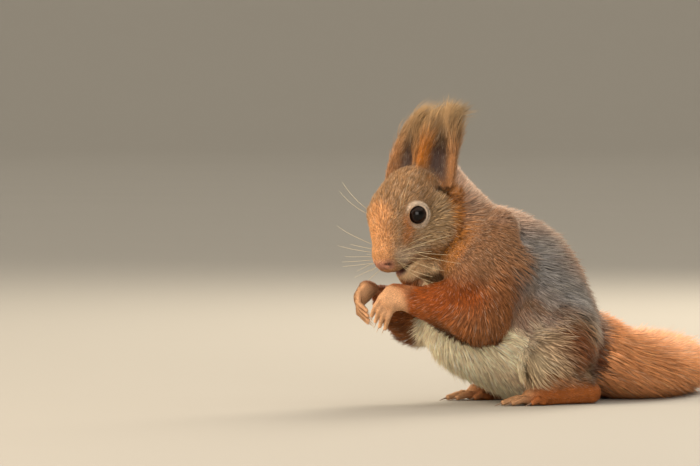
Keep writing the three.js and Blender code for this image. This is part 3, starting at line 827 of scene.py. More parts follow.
def walked(points, edges, source):
    """How far each point is from a source, walking along the edges."""
    steps = np.linalg.norm(points[edges[:, 0]] - points[edges[:, 1]], axis=1)
    both = np.concatenate([edges, edges[:, ::-1]])
    order = np.argsort(both[:, 0], kind="stable")
    ends = both[order, 1].tolist()
    costs = np.concatenate([steps, steps])[order].tolist()
    starts = np.searchsorted(both[order, 0], np.arange(len(points) + 1)).tolist()
    away = [math.inf] * len(points)
    away[source] = 0.0
    queue = [(0.0, source)]
    while queue:
        so_far, here = heapq.heappop(queue)
        if so_far > away[here]:
            continue
        for k in range(starts[here], starts[here + 1]):
            total = so_far + costs[k]
            if total < away[ends[k]]:
                away[ends[k]] = total
                heapq.heappush(queue, (total, ends[k]))
    return np.array(away)


def only_reached(points, faces):
    """Leaves out whatever isn't joined to the nose, such as hollows inside."""
    edges = edges_of(faces)
    nose = np.argmin(np.linalg.norm(points - centre("nose"), axis=1))
    away = walked(points, edges, int(nose))
    kept = np.isfinite(away)
    index = np.cumsum(kept) - 1
    faces = [index[group[kept[group[:, 0]]]] for group in faces]
    return points[kept], faces, away[kept]


LIE_ROUNDS = 24
HANG = 0.25  # how much the coat hangs
# How far round a line the coat follows it, and how strongly
EAR_LIE, UPPER_ARM_LIE, FOREARM_LIE = (11, 4.0), (13, 2.5), (10, 3.0)


def lie_lines():
    """Lines that the coat follows where it leaves the way from the nose: path, reach, strength."""
    lines = []
    for name, side in SIDES.items():
        axes = ear_axes(side)
        lines.append((np.array([axes.place(4, 0, 0), axes.place(EAR_HEIGHT + 6, 0, 0)]), *EAR_LIE))
        elbow, wrist = np.array(ELBOW[side], float), centre(f"hand_{name}")
        neck = np.array([-56, -side * 17, 88], float)
        shoulder = np.array([-40, -side * 26, 70], float)
        lines.append((np.array([neck, shoulder, elbow + (8, 0, 6)]), *UPPER_ARM_LIE))
        lines.append((np.array([elbow, wrist]), *FOREARM_LIE))
    return lines


def lie_of_coat(points, normals, edges, away):
    """The direction of the hairs at each point of the skin: away from the nose, and a little down."""
    a, b = edges.T
    step = points[b] - points[a]
    slope = ((away[b] - away[a]) / np.maximum((step**2).sum(1), 1e-6))[:, None] * step
    lie = np.zeros((len(points), 3))
    for k in range(3):
        lie[:, k] = np.bincount(a, slope[:, k], len(points)) + np.bincount(b, slope[:, k], len(points))
    lie = unit(lie + 1e-9)
    for path, reach, strength in lie_lines():
        for start, end in zip(path[:-1], path[1:]):
            near = np.exp(-((path_distance(points, np.array([start, end])) / reach) ** 2))
            lie += strength * near[:, None] * unit(end - start)
    lie[:, 2] -= HANG
    count = np.bincount(a, minlength=len(points)) + np.bincount(b, minlength=len(points))
    for _ in range(LIE_ROUNDS):
        lie -= (lie * normals).sum(1, keepdims=True) * normals
        lie = unit(lie + 1e-9)
        around = np.stack([
            np.bincount(a, lie[b, k], len(points)) + np.bincount(b, lie[a, k], len(points)) for k in range(3)
        ], axis=1)
        lie = 0.4 * lie + 0.6 * around / np.maximum(count, 1)[:, None]
    lie -= (lie * normals).sum(1, keepdims=True) * normals
    return unit(lie + 1e-9)


# ---------------------------------------------------------------- markings

GROUPS = {
    "head": ("head", "nose"),
    "chin": ("lower_jaw",),
    "ear": ("ear",),
    "body": ("neck", "trunk"),
    "arm": ("upper_arm", "forearm"),
    "leg": ("thigh", "shank"),
    "hand": ("hand",),
    "foot": ("foot",),
    "tail": ("tail",),
}
GROUP_OF = {part: group for group, parts in GROUPS.items() for part in parts}
GROUND_COLOURS = {
    "head": "crown", "chin": "chin", "ear": "ear_back", "body": "back", "arm": "arm",
    "leg": "thigh", "hand": "hand", "foot": "foot", "tail": "tail",
}

# Strokes of colour over the ground colour, on both sides of the animal: colour, path, reach, strength.
# Those on the head are in the head's frame, the others stand on the animal's left side.
HEAD_STROKES = (
    ("muzzle", [(27, 0, -5), (17, 0, 2), (10, 0, 8)], 7.0, 0.8),
    ("pad", [(19, 7, -8), (16, 9, -12), (11, 11, -12)], 4.0, 0.8),
    ("stripe", [(6, 13, 3), (8, 11.5, -2), (13, 9.5, -4)], 2.4, 0.7),
    ("cheek", [(1, 15, -9), (-9, 17, -8), (-14, 15, -12)], 7.5, 0.85),
    ("cheek", [(8, 11, -12), (2, 14, -14)], 4.0, 0.5),
    # painted shade under the cheek, along the jaw line
    ("jaw", [(-14, 16, -20), (-4, 15, -23), (5, 13, -22), (9, 10, -21)], 3.6, 0.9),
    ("chin", [(20, 3, -21), (12, 6, -24), (6, 6, -26)], 4.2, 0.9),
    ("nose", [(27, 1.5, -6.5), (25.5, 4, -7)], 2.6, 0.9),
    # painted shade in the nostril
    ("nostril", [(25.4, 3.7, -6.8), (25.2, 4.6, -6.7)], 0.9, 0.95),
    # painted shade below the whisker pad
    ("jaw", [(16, 9.5, -13.5), (9, 12.5, -17)], 3.0, 0.55),
    ("lip", [(22.5, 1.5, -15.8), (20, 4.4, -17), (17.4, 5.6, -17.6)], 1.6, 0.9),
    ("lip", [(20.6, 0.8, -18.6), (18.6, 3.6, -18.6)], 1.5, 0.85),
    # the mouth's own colour with painted shade inside it
    ("mouth", [(19, 0, -17), (13, 3, -17.4)], 2.0, 0.95),
    ("ear_rim", [(-19, 12.5, 4), (-19.5, 12.5, 9)], 2.0, 0.85),
    # painted shade behind the ear
    ("jaw", [(-29.5, 6, -5), (-27.5, 9.5, -9), (-25, 14, -12)], 3.6, 0.75),
    ("neck_band", [(-24, 14.5, -7), (-22, 16.5, -16), (-12, 17, -23)], 3.6, 0.8),
    # painted shade in the ear canal
    ("ear_inside_and_shade", [(-16, 15.5, -2), (-17.5, 15.5, -7)], 2.6, 0.9),
)
NECK_BAND = [(-51, -16, 109), (-50.4, -21, 92), (-49, -22, 80), (-53, -20, 68)]
BODY_STROKES = {
    "head": (("neck_band", NECK_BAND, 6.0, 0.9),),
    "body": (
        ("shoulder", [(-40, -20, 84), (-24, -24, 78), (-24, -25, 58)], 14, 0.9),
        ("nape", [(-48, -3, 110), (-24, -5, 94)], 13, 0.8),
        ("flank", [(-12, -26, 79), (-8, -28, 63), (12, -22, 48)], 15, 0.95),
        ("back", [(-8, 0, 94), (12, 0, 84), (27, 0, 60), (33, 0, 40)], 9, 0.75),
        ("thigh_band", [(-18, -28, 49), (-4, -30, 47), (8, -28, 43)], 4.0, 0.75),
        ("neck_band", NECK_BAND, 7.0, 0.85),
        ("belly", [(-64, 0, 54), (-60, 0, 45), (-48, 0, 24), (-20, 0, 6), (6, 0, 0)], 18, 1.0),
        ("belly", [(-46, -15, 36), (-30, -22, 30), (-18, -24, 20)], 9.5, 1.0),
        ("belly_edge", [(-13, -27, 38), (-15, -28, 20)], 4.5, 0.6),
        ("forearm", [(-64, -20, 57), (-50, -22, 66)], 8, 0.8),
        # orange-brown behind the thigh, partly its own colour and partly painted shade
        ("rump", [(27, -18, 38), (29, -14, 22)], 9, 0.8),
        # painted shade in the hollow under the tail's root
        ("rump_low_shade", [(31, -8, 20), (33, 0, 20)], 8, 0.7),
    ),
    "arm": (
        ("shoulder", [(-48, -24, 68), (-38, -27, 76), (-24, -27, 82)], 10, 0.9),
        ("nape", [(-32, -22, 89), (-16, -24, 87)], 7, 0.7),
        ("flank", [(-12, -28, 82), (-13, -32, 64), (-14, -30, 46)], 13.5, 0.95),
    ),
    "leg": (
        ("belly_edge", [(-19, -33, 33), (-17, -34, 16)], 6.5, 0.85),
        ("flank", [(0, -28, 52), (12, -24, 46)], 7.5, 0.7),
        ("thigh_band", [(-16, -30, 47), (2, -32, 44)], 4.5, 0.7),
        # orange-brown behind the thigh, partly its own colour and partly painted shade
        ("rump", [(4, -34, 34), (7, -34, 24), (16, -31, 26)], 9, 0.9),
        # painted shade low behind the thigh, near the floor
        ("rump_low_shade", [(9, -33, 16), (15, -31, 11), (22, -26, 14)], 6.0, 0.85),
        ("foot", [(-6, -32, 10), (12, -29, 6)], 6.0, 0.7),
    ),
    "foot": (("toe", [(-26, -28, 3), (-34, -28, 2)], 11, 0.85),),
    "tail": (
        ("tail_under", [(44, 4, 2), (76, 24, 2), (103, 58, 2), (116, 98, 2)], 8, 0.8),
        ("rump", [(22, 0, 44), (25, 0, 28)], 8, 0.4),
    ),
}
ELBOW = {1: (-42, -27, 42.5), -1: (-50, 22, 40)}
WANDER = 2.0  # how far the edges of the markings wander


def wandering(points, size, seed):
    """Smooth noise in three directions, of about one in size, whose waves are so many millimetres long."""
    rng = np.random.default_rng(seed)
    total = np.zeros((len(points), 3))
    for _ in range(6):
        turns = points @ rng.normal(0, 2.2 / size, (3, 3)) + rng.uniform(0, 2 * math.pi, 3)
        total += np.sin(turns)
    return total / 2.4


def stroked(colours, points, path, reach, strength, paint):
    amount = strength * np.exp(-((path_distance(points, np.array(path, float)) / reach) ** 4))
    return colours + amount[:, None] * (np.array(paint) - colours)


def arm_colours(points, colours, palette):
    for name, side in SIDES.items():
        elbow = np.array(ELBOW[side], float)
        wrist = centre(f"hand_{name}") + (6, 0, 3)
        near = (points[:, 1] < -4) == (side > 0)
        own = colours[near]
        lift = np.array([0, 0, 1.0])
        above = [elbow + 8 * lift + (-10, 0, 0), wrist + 2 * lift]
        own = stroked(own, points[near], above, 12, 0.9, palette.forearm)
        # painted shade along the underside of the elbow and forearm
        under = [elbow - 9 * lift + (6, 0, 0), (elbow + wrist) / 2 - 9 * lift]
        own = stroked(own, points[near], under, 6.5, 0.85, palette.elbow)
        top = [centre(f"upper_arm_{name}") + (4, 0, 12)]
        own = stroked(own, points[near], top, 13, 0.8, palette.shoulder)
        own = stroked(own, points[near], [wrist], 6, 0.45, palette.hand)
        colours[near] = own
    return colours


def ear_colours(points, normals, colours, palette):
    for side in SIDES.values():
        axes = ear_axes(side)
        up, across, out = axes.inside(points).T
        near = (np.abs(across) < 16) & (np.abs(out) < 12)
        inner = -side * np.sign(axes.left @ HEAD.left)  # the edge towards the other ear
        # painted shade over the hollow of the pinna, where it faces its opening
        facing = np.clip(normals @ axes.up * 2.5, 0, 1)
        hollow = facing * np.exp(-((across / (7.0 - 0.06 * up)) ** 4)) * np.clip((33 - up) / 8, 0, 1)
        rims = [
            np.exp(-((np.abs(across - way * (8.8 - 0.07 * up)) / 2.4) ** 2)) * np.clip((30 - up) / 8, 0, 1)
            for way in (inner, -inner)
        ]
        top = np.clip((up - 20) / 10, 0, 1)
        layers = (
            (top, palette.tuft),
            (hollow, palette.ear_inside_and_shade),
            # the right ear gets less of the bright rim than the left one: painted shade on the right ear
            ((0.62 + 0.33 * side) * rims[0], palette.ear_rim),
            # the outer edge, partly its own colour and partly painted highlight
            (0.9 * rims[1], palette.ear_edge_and_highlight),
        )
        for amount, paint in layers:
            colours = colours + (near * amount)[:, None] * (np.array(paint) - colours)
    return colours


def lid_colours(points, colours, palette):
    for side in SIDES.values():
        eye = eye_axes(side)
        rings = ((2.7, 5.2, 1.25, palette.eye_ring), (3.4, 4.1, 0.4, palette.eye_rim))
        for ahead, radius, reach, paint in rings:
            colours = stroked(colours, points, ring(eye, ahead, radius), reach, 0.95, paint)
    return colours


def markings(points, normals, shares, palette):
    """The colours of the skin and of the coat that grows from it."""
    strayed = points + WANDER * wandering(points, 9, 5) * (1 - 0.75 * shares[:, :1])
    total = np.zeros((len(points), 3))
    for k, group in enumerate(GROUPS):
        colours = np.tile(getattr(palette, GROUND_COLOURS[group]), (len(points), 1)).astype(float)
        if group in ("head", "chin"):
            for paint, path, reach, strength in HEAD_STROKES:
                # the chin takes the lips, the mouth with its painted shade, and the painted shade of the jaw
                if group == "chin" and paint not in ("lip", "mouth", "jaw"):
                    continue
                for side in SIDES.values():
                    where = on_head(path, side)
                    colours = stroked(colours, strayed, where, reach, strength, getattr(palette, paint))
        for paint, path, reach, strength in BODY_STROKES.get(group, ()):
            for side in SIDES.values():
                where = [(x, side * y, z) for x, y, z in path]
                colours = stroked(colours, strayed, where, reach, strength, getattr(palette, paint))
        if group == "arm":
            colours = arm_colours(strayed, colours, palette)
        if group == "ear":
            colours = ear_colours(points, normals, colours, palette)
        if group == "head":
            colours = lid_colours(points, colours, palette)
        total += shares[:, k : k + 1] * colours
    return total


def part_distances(points, nodes, coarse):
    """The distance from each point to each node of flesh."""
    table = np.full((len(points), len(FLESH)), DEEP_REACH)
    for k, node in enumerate(FLESH):
        spots, values = nodes[node]
        block = coarse.part(spots, values)
        places = points / block.voxel - block.first
        held = np.all((places >= 0) & (places < np.array(values.shape) - 1), axis=1)
        table[held, k] = sampled(block, points[held])
    return table


DEPTH_LIMITS = (0.6, 1.35)  # of the depth that the settings plan
# At the wrist the coat is this deep out to a distance, and deeper by a share of what is beyond
WRIST_DEPTH, WRIST_REACH, WRIST_SLOPE = 0.75, 5, 0.09


def coat_depths(points, depth, flesh):
    """How deep the coat is: from the skin out to the CAD's surface, within reason for the part."""
    planned = sampled(depth, points)
    least, most = DEPTH_LIMITS
    deep = np.clip(-sampled(flesh, points), least * planned, most * planned)
    for side in SIDES.values():
        ahead, outwards, above = WRIST[side]
        away = np.linalg.norm(points - HANDS.place(ahead, side * outwards, above), axis=1)
        deep = np.minimum(deep, WRIST_DEPTH + WRIST_SLOPE * np.maximum(away - WRIST_REACH, 0))
    return deep


def tuft_shares(points):
    """How far the hairs of each point belong to an ear's tuft: up its edges, and most at its tip."""
    shares = np.zeros(len(points))
    for side in SIDES.values():
        up, across, out = ear_axes(side).inside(points).T
        near = (np.abs(across) < 14) & (np.abs(out) < 10)
        edge = np.exp(-(((np.abs(across) - 8.6 + 0.08 * up) / 2.2) ** 2))
        top = np.clip((up - TUFT_FROM) / (EAR_HEIGHT - TUFT_FROM), 0, 1)
        fringe = edge * np.clip((up - 11) / 14, 0, 1)
        shares = np.maximum(shares, near * np.maximum(top, 0.42 * fringe))
    return shares


def group_shares(table):
    """How far each point belongs to each group of nodes."""
    group = np.array([GROUP_OF[part_of(node)] for node in FLESH])
    nearest = np.stack([table[:, group == name].min(1) for name in GROUPS], axis=1)
    shares = np.exp(-(nearest - nearest.min(1, keepdims=True)) / 0.8)
    return shares / shares.sum(1, keepdims=True)


# Bare places: path in the head's frame, reach, share of the hairs that is gone
BARE_SPOTS = (
    ([(27.2, 1.4, -7), (25.6, 3.8, -6.4)], 2.0, 0.92),
    ([(25.4, 3.7, -6.8)], 1.2, 1.0),
    ([(20.6, 0.8, -18.6), (18.6, 3.6, -18.6)], 1.3, 1.0),
    ([(22.5, 1.5, -15.8), (20, 4.4, -17), (17, 5.6, -17.6)], 1.3, 1.0),
    ([(19, 0, -17), (11, 3, -17.4)], 3.0, 1.0),
)


def bareness(points, normals):
    """How bare the skin is: 1 on the lids, nose, lips, finger tips and soles."""
    bare = np.zeros(len(points))
    for side in SIDES.values():
        for path, reach, share in BARE_SPOTS:
            near = np.exp(-((path_distance(points, on_head(path, side)) / reach) ** 4))
            bare = np.maximum(bare, share * near)
        near = np.exp(-((path_distance(points, ring(eye_axes(side), 3.1, 4.4)) / 1.0) ** 4))
        bare = np.maximum(bare, near)
        up, across, _ = ear_axes(side).inside(points).T
        facing = np.clip(normals @ ear_axes(side).up * 2, 0, 1)
        hollow = facing * np.exp(-((across / 6.5) ** 4)) * np.clip((30 - up) / 8, 0, 1) * (up > 2)
        bare = np.maximum(bare, 0.75 * hollow)
    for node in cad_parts:
        if "claw" in node:
            reach = 3.2 if node.startswith("hand") else 2.2
            bare = np.maximum(bare, np.exp(-((path_distance(points, centre(node)[None]) / reach) ** 4)))
    return np.where(points[:, 2] < 0.5, 1.0, bare)


# ---------------------------------------------------------------- coat

# Each piece of the coat: the groups it covers, its side (0 for both), its hairs and the record's slot
COAT_PIECES = {
    "coat_head_left": (("head", "chin"), 1, 31000, "fur_head"),
    "coat_head_right": (("head", "chin"), -1, 31000, "fur_head"),
    "coat_ears": (("ear",), 0, 11000, "fur_rufous"),
    "coat_tufts": (("ear",), 0, 7000, "fur_head"),
    "coat_body_left": (("body",), 1, 31000, "fur_back"),
    "coat_body_right": (("body",), -1, 31000, "fur_back"),
    "coat_arm_left": (("arm", "hand"), 1, 18500, "fur_rufous"),
    "coat_arm_right": (("arm", "hand"), -1, 17500, "fur_rufous"),
    "coat_legs": (("leg", "foot"), 0, 30500, "fur_back"),
    "coat_tail": (("tail",), 0, 32500, "fur_tail"),
}
TUFT_FROM = 16.0  # where the tufts begin, up the pinna
TUFT_LENGTH = 14.5
# How the tufts bend over, for each unit of their length
TUFT_SWEEP = {1: (0.15, 0.0, 0.0), -1: (0.72, -0.1, 0.0)}
TUFT_FAN = 0.1
# Where the coat stands up more than elsewhere: path, reach, how much more
LIFTS = (
    ([(22, 0, 36), (38, 3, 30), (52, 10, 24)], 14, 1.0),
    ([(103, 58, 13), (116, 98, 12)], 22, 0.35),
)
# How much the hairs of each group differ in tone, and how many of them have pale ends
TICKING = {
    "head": (0.34, 0.25), "chin": (0.12, 0.1), "ear": (0.2, 0.2), "body": (0.26, 0.35), "arm": (0.2, 0.12),
    "leg": (0.24, 0.25), "hand": (0.12, 0.1), "foot": (0.16, 0.1), "tail": (0.2, 0.15),
}
PALE_END = np.array(linear("#d8cdbc"))
SHORTEST_HAIR = {"hand": 0.7, "foot": 0.95, "ear": 2.8}
SHORTEST_ELSEWHERE = 1.3
LONGER_OR_SHORTER = (0.7, 1.15)
HAIR_WIDTH = 0.2  # for a coat one millimetre deep
WIDTH_GROWTH = 0.45  # the power of the coat's depth that a hair's width grows with
LEAST_DEPTH = 0.4  # that the width is worked out for
HAND_SHARE = 0.5  # of the hairs that a hand would get
SWING = 0.07  # how far hairs curve sideways, for each unit of their length
LEAST_RISE = {"ear": 0.3}  # how steeply the hairs stand up, at the least
LEAST_RISE_ELSEWHERE = 0.08
MOST_RISE = 0.85
TUFT_RISE = 0.14
TUFT_FADE = 0.75  # share of the pale colour at the ends of the tufts
ROOT_SUNK = 0.35
LOCK = 14  # hairs gathered in each lock
PATCH = 0.003  # size of a hair's patch on the unwrap
FLOOR_CLEARANCE = 0.12
HAIR_SEGMENTS = {"coat_tufts": 3}


def hair_faces(segments):
    """The triangles of one hair: a three-sided spike that starts and ends in a point."""
    faces = [(0, 1 + (j + 1) % 3, 1 + j) for j in range(3)]
    for k in range(segments - 2):
        for j in range(3):
            a, b = 1 + 3 * k + j, 1 + 3 * k + (j + 1) % 3
            faces += [(a, b, b + 3), (a, b + 3, a + 3)]
    last = 1 + 3 * (segments - 2)
    faces += [(last + j, last + (j + 1) % 3, last + 3) for j in range(3)]
    return np.array(faces)


def hair_points(line, across, outward, widths):
    """The corners of every hair round its middle line, from the root to the tip."""
    count, stops, _ = line.shape
    points = np.empty((count, 3 * (stops - 2) + 2, 3))
    points[:, 0] = line[:, 0]
    for k in range(1, stops - 1):
        wide = (widths * (1 - 0.4 * (k - 1) / (stops - 2)))[:, None]
        points[:, 3 * k - 2] = line[:, k] - across * wide / 2
        points[:, 3 * k - 1] = line[:, k] + outward * wide * 0.45
        points[:, 3 * k] = line[:, k] + across * wide / 2
    points[:, -1] = line[:, -1]
    return points


def turned_outwards(points, faces):
    """The triangles of a hair, in the order that makes them face outwards."""
    a, b, c = (points[:200, faces[:, k]] for k in range(3))
    volume = np.einsum("nij,nij->", a, np.cross(b, c))
    return faces if volume > 0 else faces[:, ::-1]


def scattered(skin, weights, count, rng):
    """Places spread over the skin, as three corners and their shares."""
    mesh = skin.data
    mesh.calc_loop_triangles()
    corners = np.empty(len(mesh.loop_triangles) * 3, np.int32)
    mesh.loop_triangles.foreach_get("vertices", corners)
    corners = corners.reshape(-1, 3)
    points = mesh_points(mesh)
    a, b, c = (points[corners[:, k]] for k in range(3))
    area = np.linalg.norm(np.cross(b - a, c - a), axis=1) / 2
    share = np.cumsum(area * weights[corners].mean(1))
    spots = (np.arange(count) + rng.uniform(0, 1, count)) / count * share[-1]
    chosen = corners[np.minimum(np.searchsorted(share, spots), len(corners) - 1)]
    u, v = rng.uniform(0, 1, (2, count))
    flip = u + v > 1
    u[flip], v[flip] = 1 - u[flip], 1 - v[flip]
    return chosen, np.stack([1 - u - v, u, v], axis=1)


def between(values, chosen, shares):
    """Values at the scattered places."""
    return np.einsum("nk,nk...->n...", shares, values[chosen])


def gathered(line, roots, clump, rng):
    """Draws the ends of the hairs together into locks."""
    seeds = rng.choice(len(roots), max(1, len(roots) // LOCK), replace=False)
    tree = kdtree.KDTree(len(seeds))
    for k, seed_hair in enumerate(seeds):
        tree.insert(roots[seed_hair], k)
    tree.balance()
    own = seeds[[tree.find(root)[1] for root in roots]]
    pull = (clump * rng.uniform(0.35, 1, len(roots)))[:, None]
    away = roots - roots[own]
    for k in range(1, line.shape[1]):
        share = pull * (k / (line.shape[1] - 1)) ** 1.3
        aim = line[own, k] + 0.3 * away
        line[:, k] += share * (aim - line[:, k])
    return line


def clear_of_eyes(line):
    """Bends the hairs round the openings of the eyes."""
    for side in SIDES.values():
        eye = eye_axes(side)
        local = eye.inside(line.reshape(-1, 3))
        off = np.hypot(local[:, 1], local[:, 2])
        crossing = (local[:, 0] > 1.5) & (local[:, 0] < 9) & (off < EYE_OPENING + 0.35)
        push = np.where(crossing, (EYE_OPENING + 0.35) / np.maximum(off, 0.3), 1)
        local[:, 1:] *= push[:, None]
        line = (eye.at + local @ np.stack([eye.forward, eye.left, eye.up])).reshape(line.shape)
    return line


def lifted(roots):
    """How much more than elsewhere the coat stands up at each root."""
    lift = np.ones(len(roots))
    for path, reach, more in LIFTS:
        lift += more * np.exp(-((path_distance(roots, np.array(path, float)) / reach) ** 2))
    return lift


def tuft_sweeps(roots):
    """How the hairs of the tufts bend over and fan out, for each unit of their length."""
    sweeps = np.zeros((len(roots), 3))
    left = HEAD.inside(roots)[:, 1] > 0
    for side in SIDES.values():
        mine = left == (side > 0)
        axes = ear_axes(side)
        across = np.clip(axes.inside(roots[mine])[:, 1] / EAR_HALF_WIDTH, -1, 1)
        sweeps[mine] = np.array(TUFT_SWEEP[side]) + TUFT_FAN * across[:, None] * axes.left
    return sweeps


def unwrapped(roots, owner, names):
    """Where each root lies when the skin of its part is rolled out flat, with the parts side by side."""
    places = np.zeros((len(roots), 2))
    used = [k for k in range(len(names)) if np.any(owner == k)]
    columns = math.ceil(math.sqrt(len(used)))
    for tile, k in enumerate(used):
        mine = owner == k
        points, _ = merged(names[k])
        middle = points.mean(0)
        _, _, axes = np.linalg.svd(points - middle, full_matrices=False)
        local = (roots[mine] - middle) @ axes.T
        around = np.arctan2(local[:, 1], local[:, 2]) / (2 * math.pi) + 0.5
        low, high = local[:, 0].min(), local[:, 0].max()
        along = (local[:, 0] - low) / max(high - low, 1e-6)
        flat = 0.02 + 0.96 * np.stack([around, along], axis=1)
        places[mine] = (flat + (tile % columns, tile // columns)) / columns
    return places


def add_coat(name, points, outward, colours, places, faces, material):
    """One piece of the coat from the corners of all its hairs."""
    count, corners, _ = points.shape
    offsets = (np.arange(count) * corners)[:, None, None]
    triangles = (offsets + turned_outwards(points, faces)[None]).reshape(-1, 3)
    piece = new_mesh(name, points.reshape(-1, 3), [triangles], material)
    mesh = piece.data
    rgba = np.concatenate([colours, np.ones((count, corners, 1))], axis=2)
    write_attribute(mesh, "hair_colour", "FLOAT_COLOR", rgba)
    row = np.arange(corners)
    shift = np.stack([((row + 2) % 3 - 1) * PATCH * 0.4, (row / (corners - 1) - 0.5) * PATCH], axis=1)
    flat = (places[:, None] + shift[None]).reshape(-1, 2)
    layer = mesh.uv_layers.new(name="OFBake")
    layer.data.foreach_set("uv", np.clip(flat[triangles.reshape(-1)], 0, 1).astype(np.float32).reshape(-1))
    middle = points.mean(1, keepdims=True)
    own = unit(points - middle + 1e-9)
    normals = unit(0.6 * outward[:, None] + 0.4 * own).reshape(-1, 3)
    mesh.normals_split_custom_set_from_vertices(normals)
    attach(piece, "root")
    return piece


def hair_lines(roots, lengths, ways, rise, sweeps, swing, segments):
    """The middle line of every hair: it stands up at its root, then lies down along the coat."""
    lie, outward, across = ways
    line = np.empty((len(roots), segments + 1, 3))
    for k in range(segments + 1):
        t = k / segments
        up = rise * (1.55 * t - 0.55 * t * t)
        ahead = np.sqrt(np.maximum(t * t - up * up, 0.01 * t * t))
        line[:, k] = roots + lengths[:, None] * (
            lie * ahead[:, None] + outward * up[:, None] + across * (swing * t * t)[:, None]
            + sweeps * t * t
        )
    line[:, 0] -= ROOT_SUNK * outward
    return line


def grow(name, skin, settings, palette, materials):
    """Grows one piece of the coat on the skin."""
    groups, side, count, slot = COAT_PIECES[name]
    rng = np.random.default_rng(settings.seed + list(COAT_PIECES).index(name))
    mesh = skin.data
    points, normals = mesh_points(mesh), mesh_normals(mesh)
    depth = read_attribute(mesh, "coat_depth", "FLOAT") / MM
    tuft = read_attribute(mesh, "tuft", "FLOAT") * (name == "coat_tufts")
    node = read_attribute(mesh, "part", "INT")
    bare = read_attribute(mesh, "bare", "FLOAT")
    number = {one: k for k, one in enumerate(GROUPS)}
    group = np.array([number[GROUP_OF[part_of(one)]] for one in FLESH])[node]
    mine = np.isin(group, [number[one] for one in groups]).astype(float)
    if side:
        where = HEAD.inside(points)[:, 1] if "head" in groups else -points[:, 1]
        mine *= where * side >= 0
    if name == "coat_tufts":
        mine *= tuft
    shortest = np.array([SHORTEST_HAIR.get(one, SHORTEST_ELSEWHERE) for one in GROUPS])[group]
    lengths = np.maximum(settings.ratio * depth, shortest)
    widths = HAIR_WIDTH * np.maximum(depth, LEAST_DEPTH) ** WIDTH_GROWTH
    weights = mine * (1 - bare) / (lengths * widths)
    weights *= np.where(group == number["hand"], HAND_SHARE, 1)
    chosen, shares = scattered(skin, weights, int(count * settings.density), rng)
    roots = between(points, chosen, shares)
    outward = unit(between(normals, chosen, shares))
    lie = between(read_attribute(mesh, "lie", "FLOAT_VECTOR"), chosen, shares)
    depth = between(depth, chosen, shares)
    tuft = between(tuft, chosen, shares)
    paint = between(read_attribute(mesh, "marking", "FLOAT_COLOR")[:, :3], chosen, shares)
    owner = node[chosen[:, 0]]
    lengths = np.maximum(settings.ratio * depth, between(shortest, chosen, shares))
    lengths = lengths * rng.uniform(*LONGER_OR_SHORTER, len(roots))
    lengths += TUFT_LENGTH * tuft**0.7 * rng.uniform(0.25, 1.1, len(roots)) ** 0.7
    widths = HAIR_WIDTH * np.maximum(depth + 0.4 * tuft, LEAST_DEPTH) ** WIDTH_GROWTH
    widths = widths * rng.uniform(0.75, 1.2, len(roots))
    lie = lie - (lie * outward).sum(1, keepdims=True) * outward
    lie = unit(unit(lie) + settings.stray * rng.normal(0, 1, roots.shape))
    across = unit(np.cross(lie, outward))
    rise = depth * rng.uniform(0.8, 1.2, len(roots)) / lengths * lifted(roots)
    lowest = np.array([LEAST_RISE.get(one, LEAST_RISE_ELSEWHERE) for one in GROUPS])[group[chosen[:, 0]]]
    rise = np.clip(rise, lowest, MOST_RISE) + TUFT_RISE * tuft
    sweeps = tuft_sweeps(roots) * tuft[:, None]
    segments = HAIR_SEGMENTS.get(name, 2)
    swing = rng.normal(0, SWING, len(roots))
    line = hair_lines(roots, lengths, (lie, outward, across), rise, sweeps, swing, segments)
    line = gathered(line, roots, settings.clump, rng)
    if "head" in groups:
        line = clear_of_eyes(line)
    line[..., 2] = np.maximum(line[..., 2], FLOOR_CLEARANCE)
    hairs = hair_points(line, across, outward, widths)
    hairs[..., 2] = np.maximum(hairs[..., 2], FLOOR_CLEARANCE / 2)
    colours = hair_colours(paint, group[chosen[:, 0]], segments, rng)
    if name == "coat_tufts":
        fade = np.linspace(0, 1, hairs.shape[1])[None, :, None] ** 1.5 * (TUFT_FADE * tuft)[:, None, None]
        colours += fade * (np.array(palette.tuft_tip) - colours)
    places = unwrapped(roots, owner, FLESH)
    return add_coat(name, hairs, outward, colours, places, hair_faces(segments), materials[slot])


ROOT_SHADE, TIP_SHADE = 0.62, 1.05  # a hair is darker at its root, where little light comes
FULL_SHADE_FROM = 0.6  # the share of its length where that ends
PALE_FROM = 0.35  # the share of its length where a pale end begins


def hair_colours(paint, group, segments, rng):
    """The colour of every corner: dark at the root, its own tone, and now and then a pale end."""
    table = np.array([TICKING[name] for name in GROUPS])[group]
    tone = np.exp(rng.normal(0, 1, len(paint)) * table[:, 0])
    pale = (rng.uniform(0, 1, len(paint)) < table[:, 1]) * rng.uniform(0.25, 0.6, len(paint))
    rows = []
    for k in range(3 * segments - 1):
        t = (k + 2) // 3 / segments
        shade = ROOT_SHADE + (TIP_SHADE - ROOT_SHADE) * min(1, t / FULL_SHADE_FROM)
        own = paint * (tone * shade)[:, None]
        own = own + (pale * max(0, t - PALE_FROM) / (1 - PALE_FROM))[:, None] * (PALE_END - own)
        rows.append(own)
    return np.clip(np.stack(rows, axis=1), 0, 1)


# ---------------------------------------------------------------- materials


def add_node(tree, kind, place, inputs=None, **settings):
    """Adds one node with its settings, its fixed values and its links."""
    node = tree.nodes.new(kind)
    node.location = place
    for key, value in settings.items():
        setattr(node, key, value)
    for key, value in (inputs or {}).items():
        if isinstance(value, bpy.types.NodeSocket):
            tree.links.new(value, node.inputs[key])
        else:
            node.inputs[key].default_value = value
    return node


def new_material(name):
    """An empty material and its shader."""
    material = bpy.data.materials.new(name)
    material.use_nodes = True
    tree = material.node_tree
    tree.nodes.clear()
    shader = add_node(tree, "ShaderNodeBsdfPrincipled", (400, 0))
    add_node(tree, "ShaderNodeOutputMaterial", (700, 0), {"Surface": shader.outputs["BSDF"]})
    return material, tree, shader


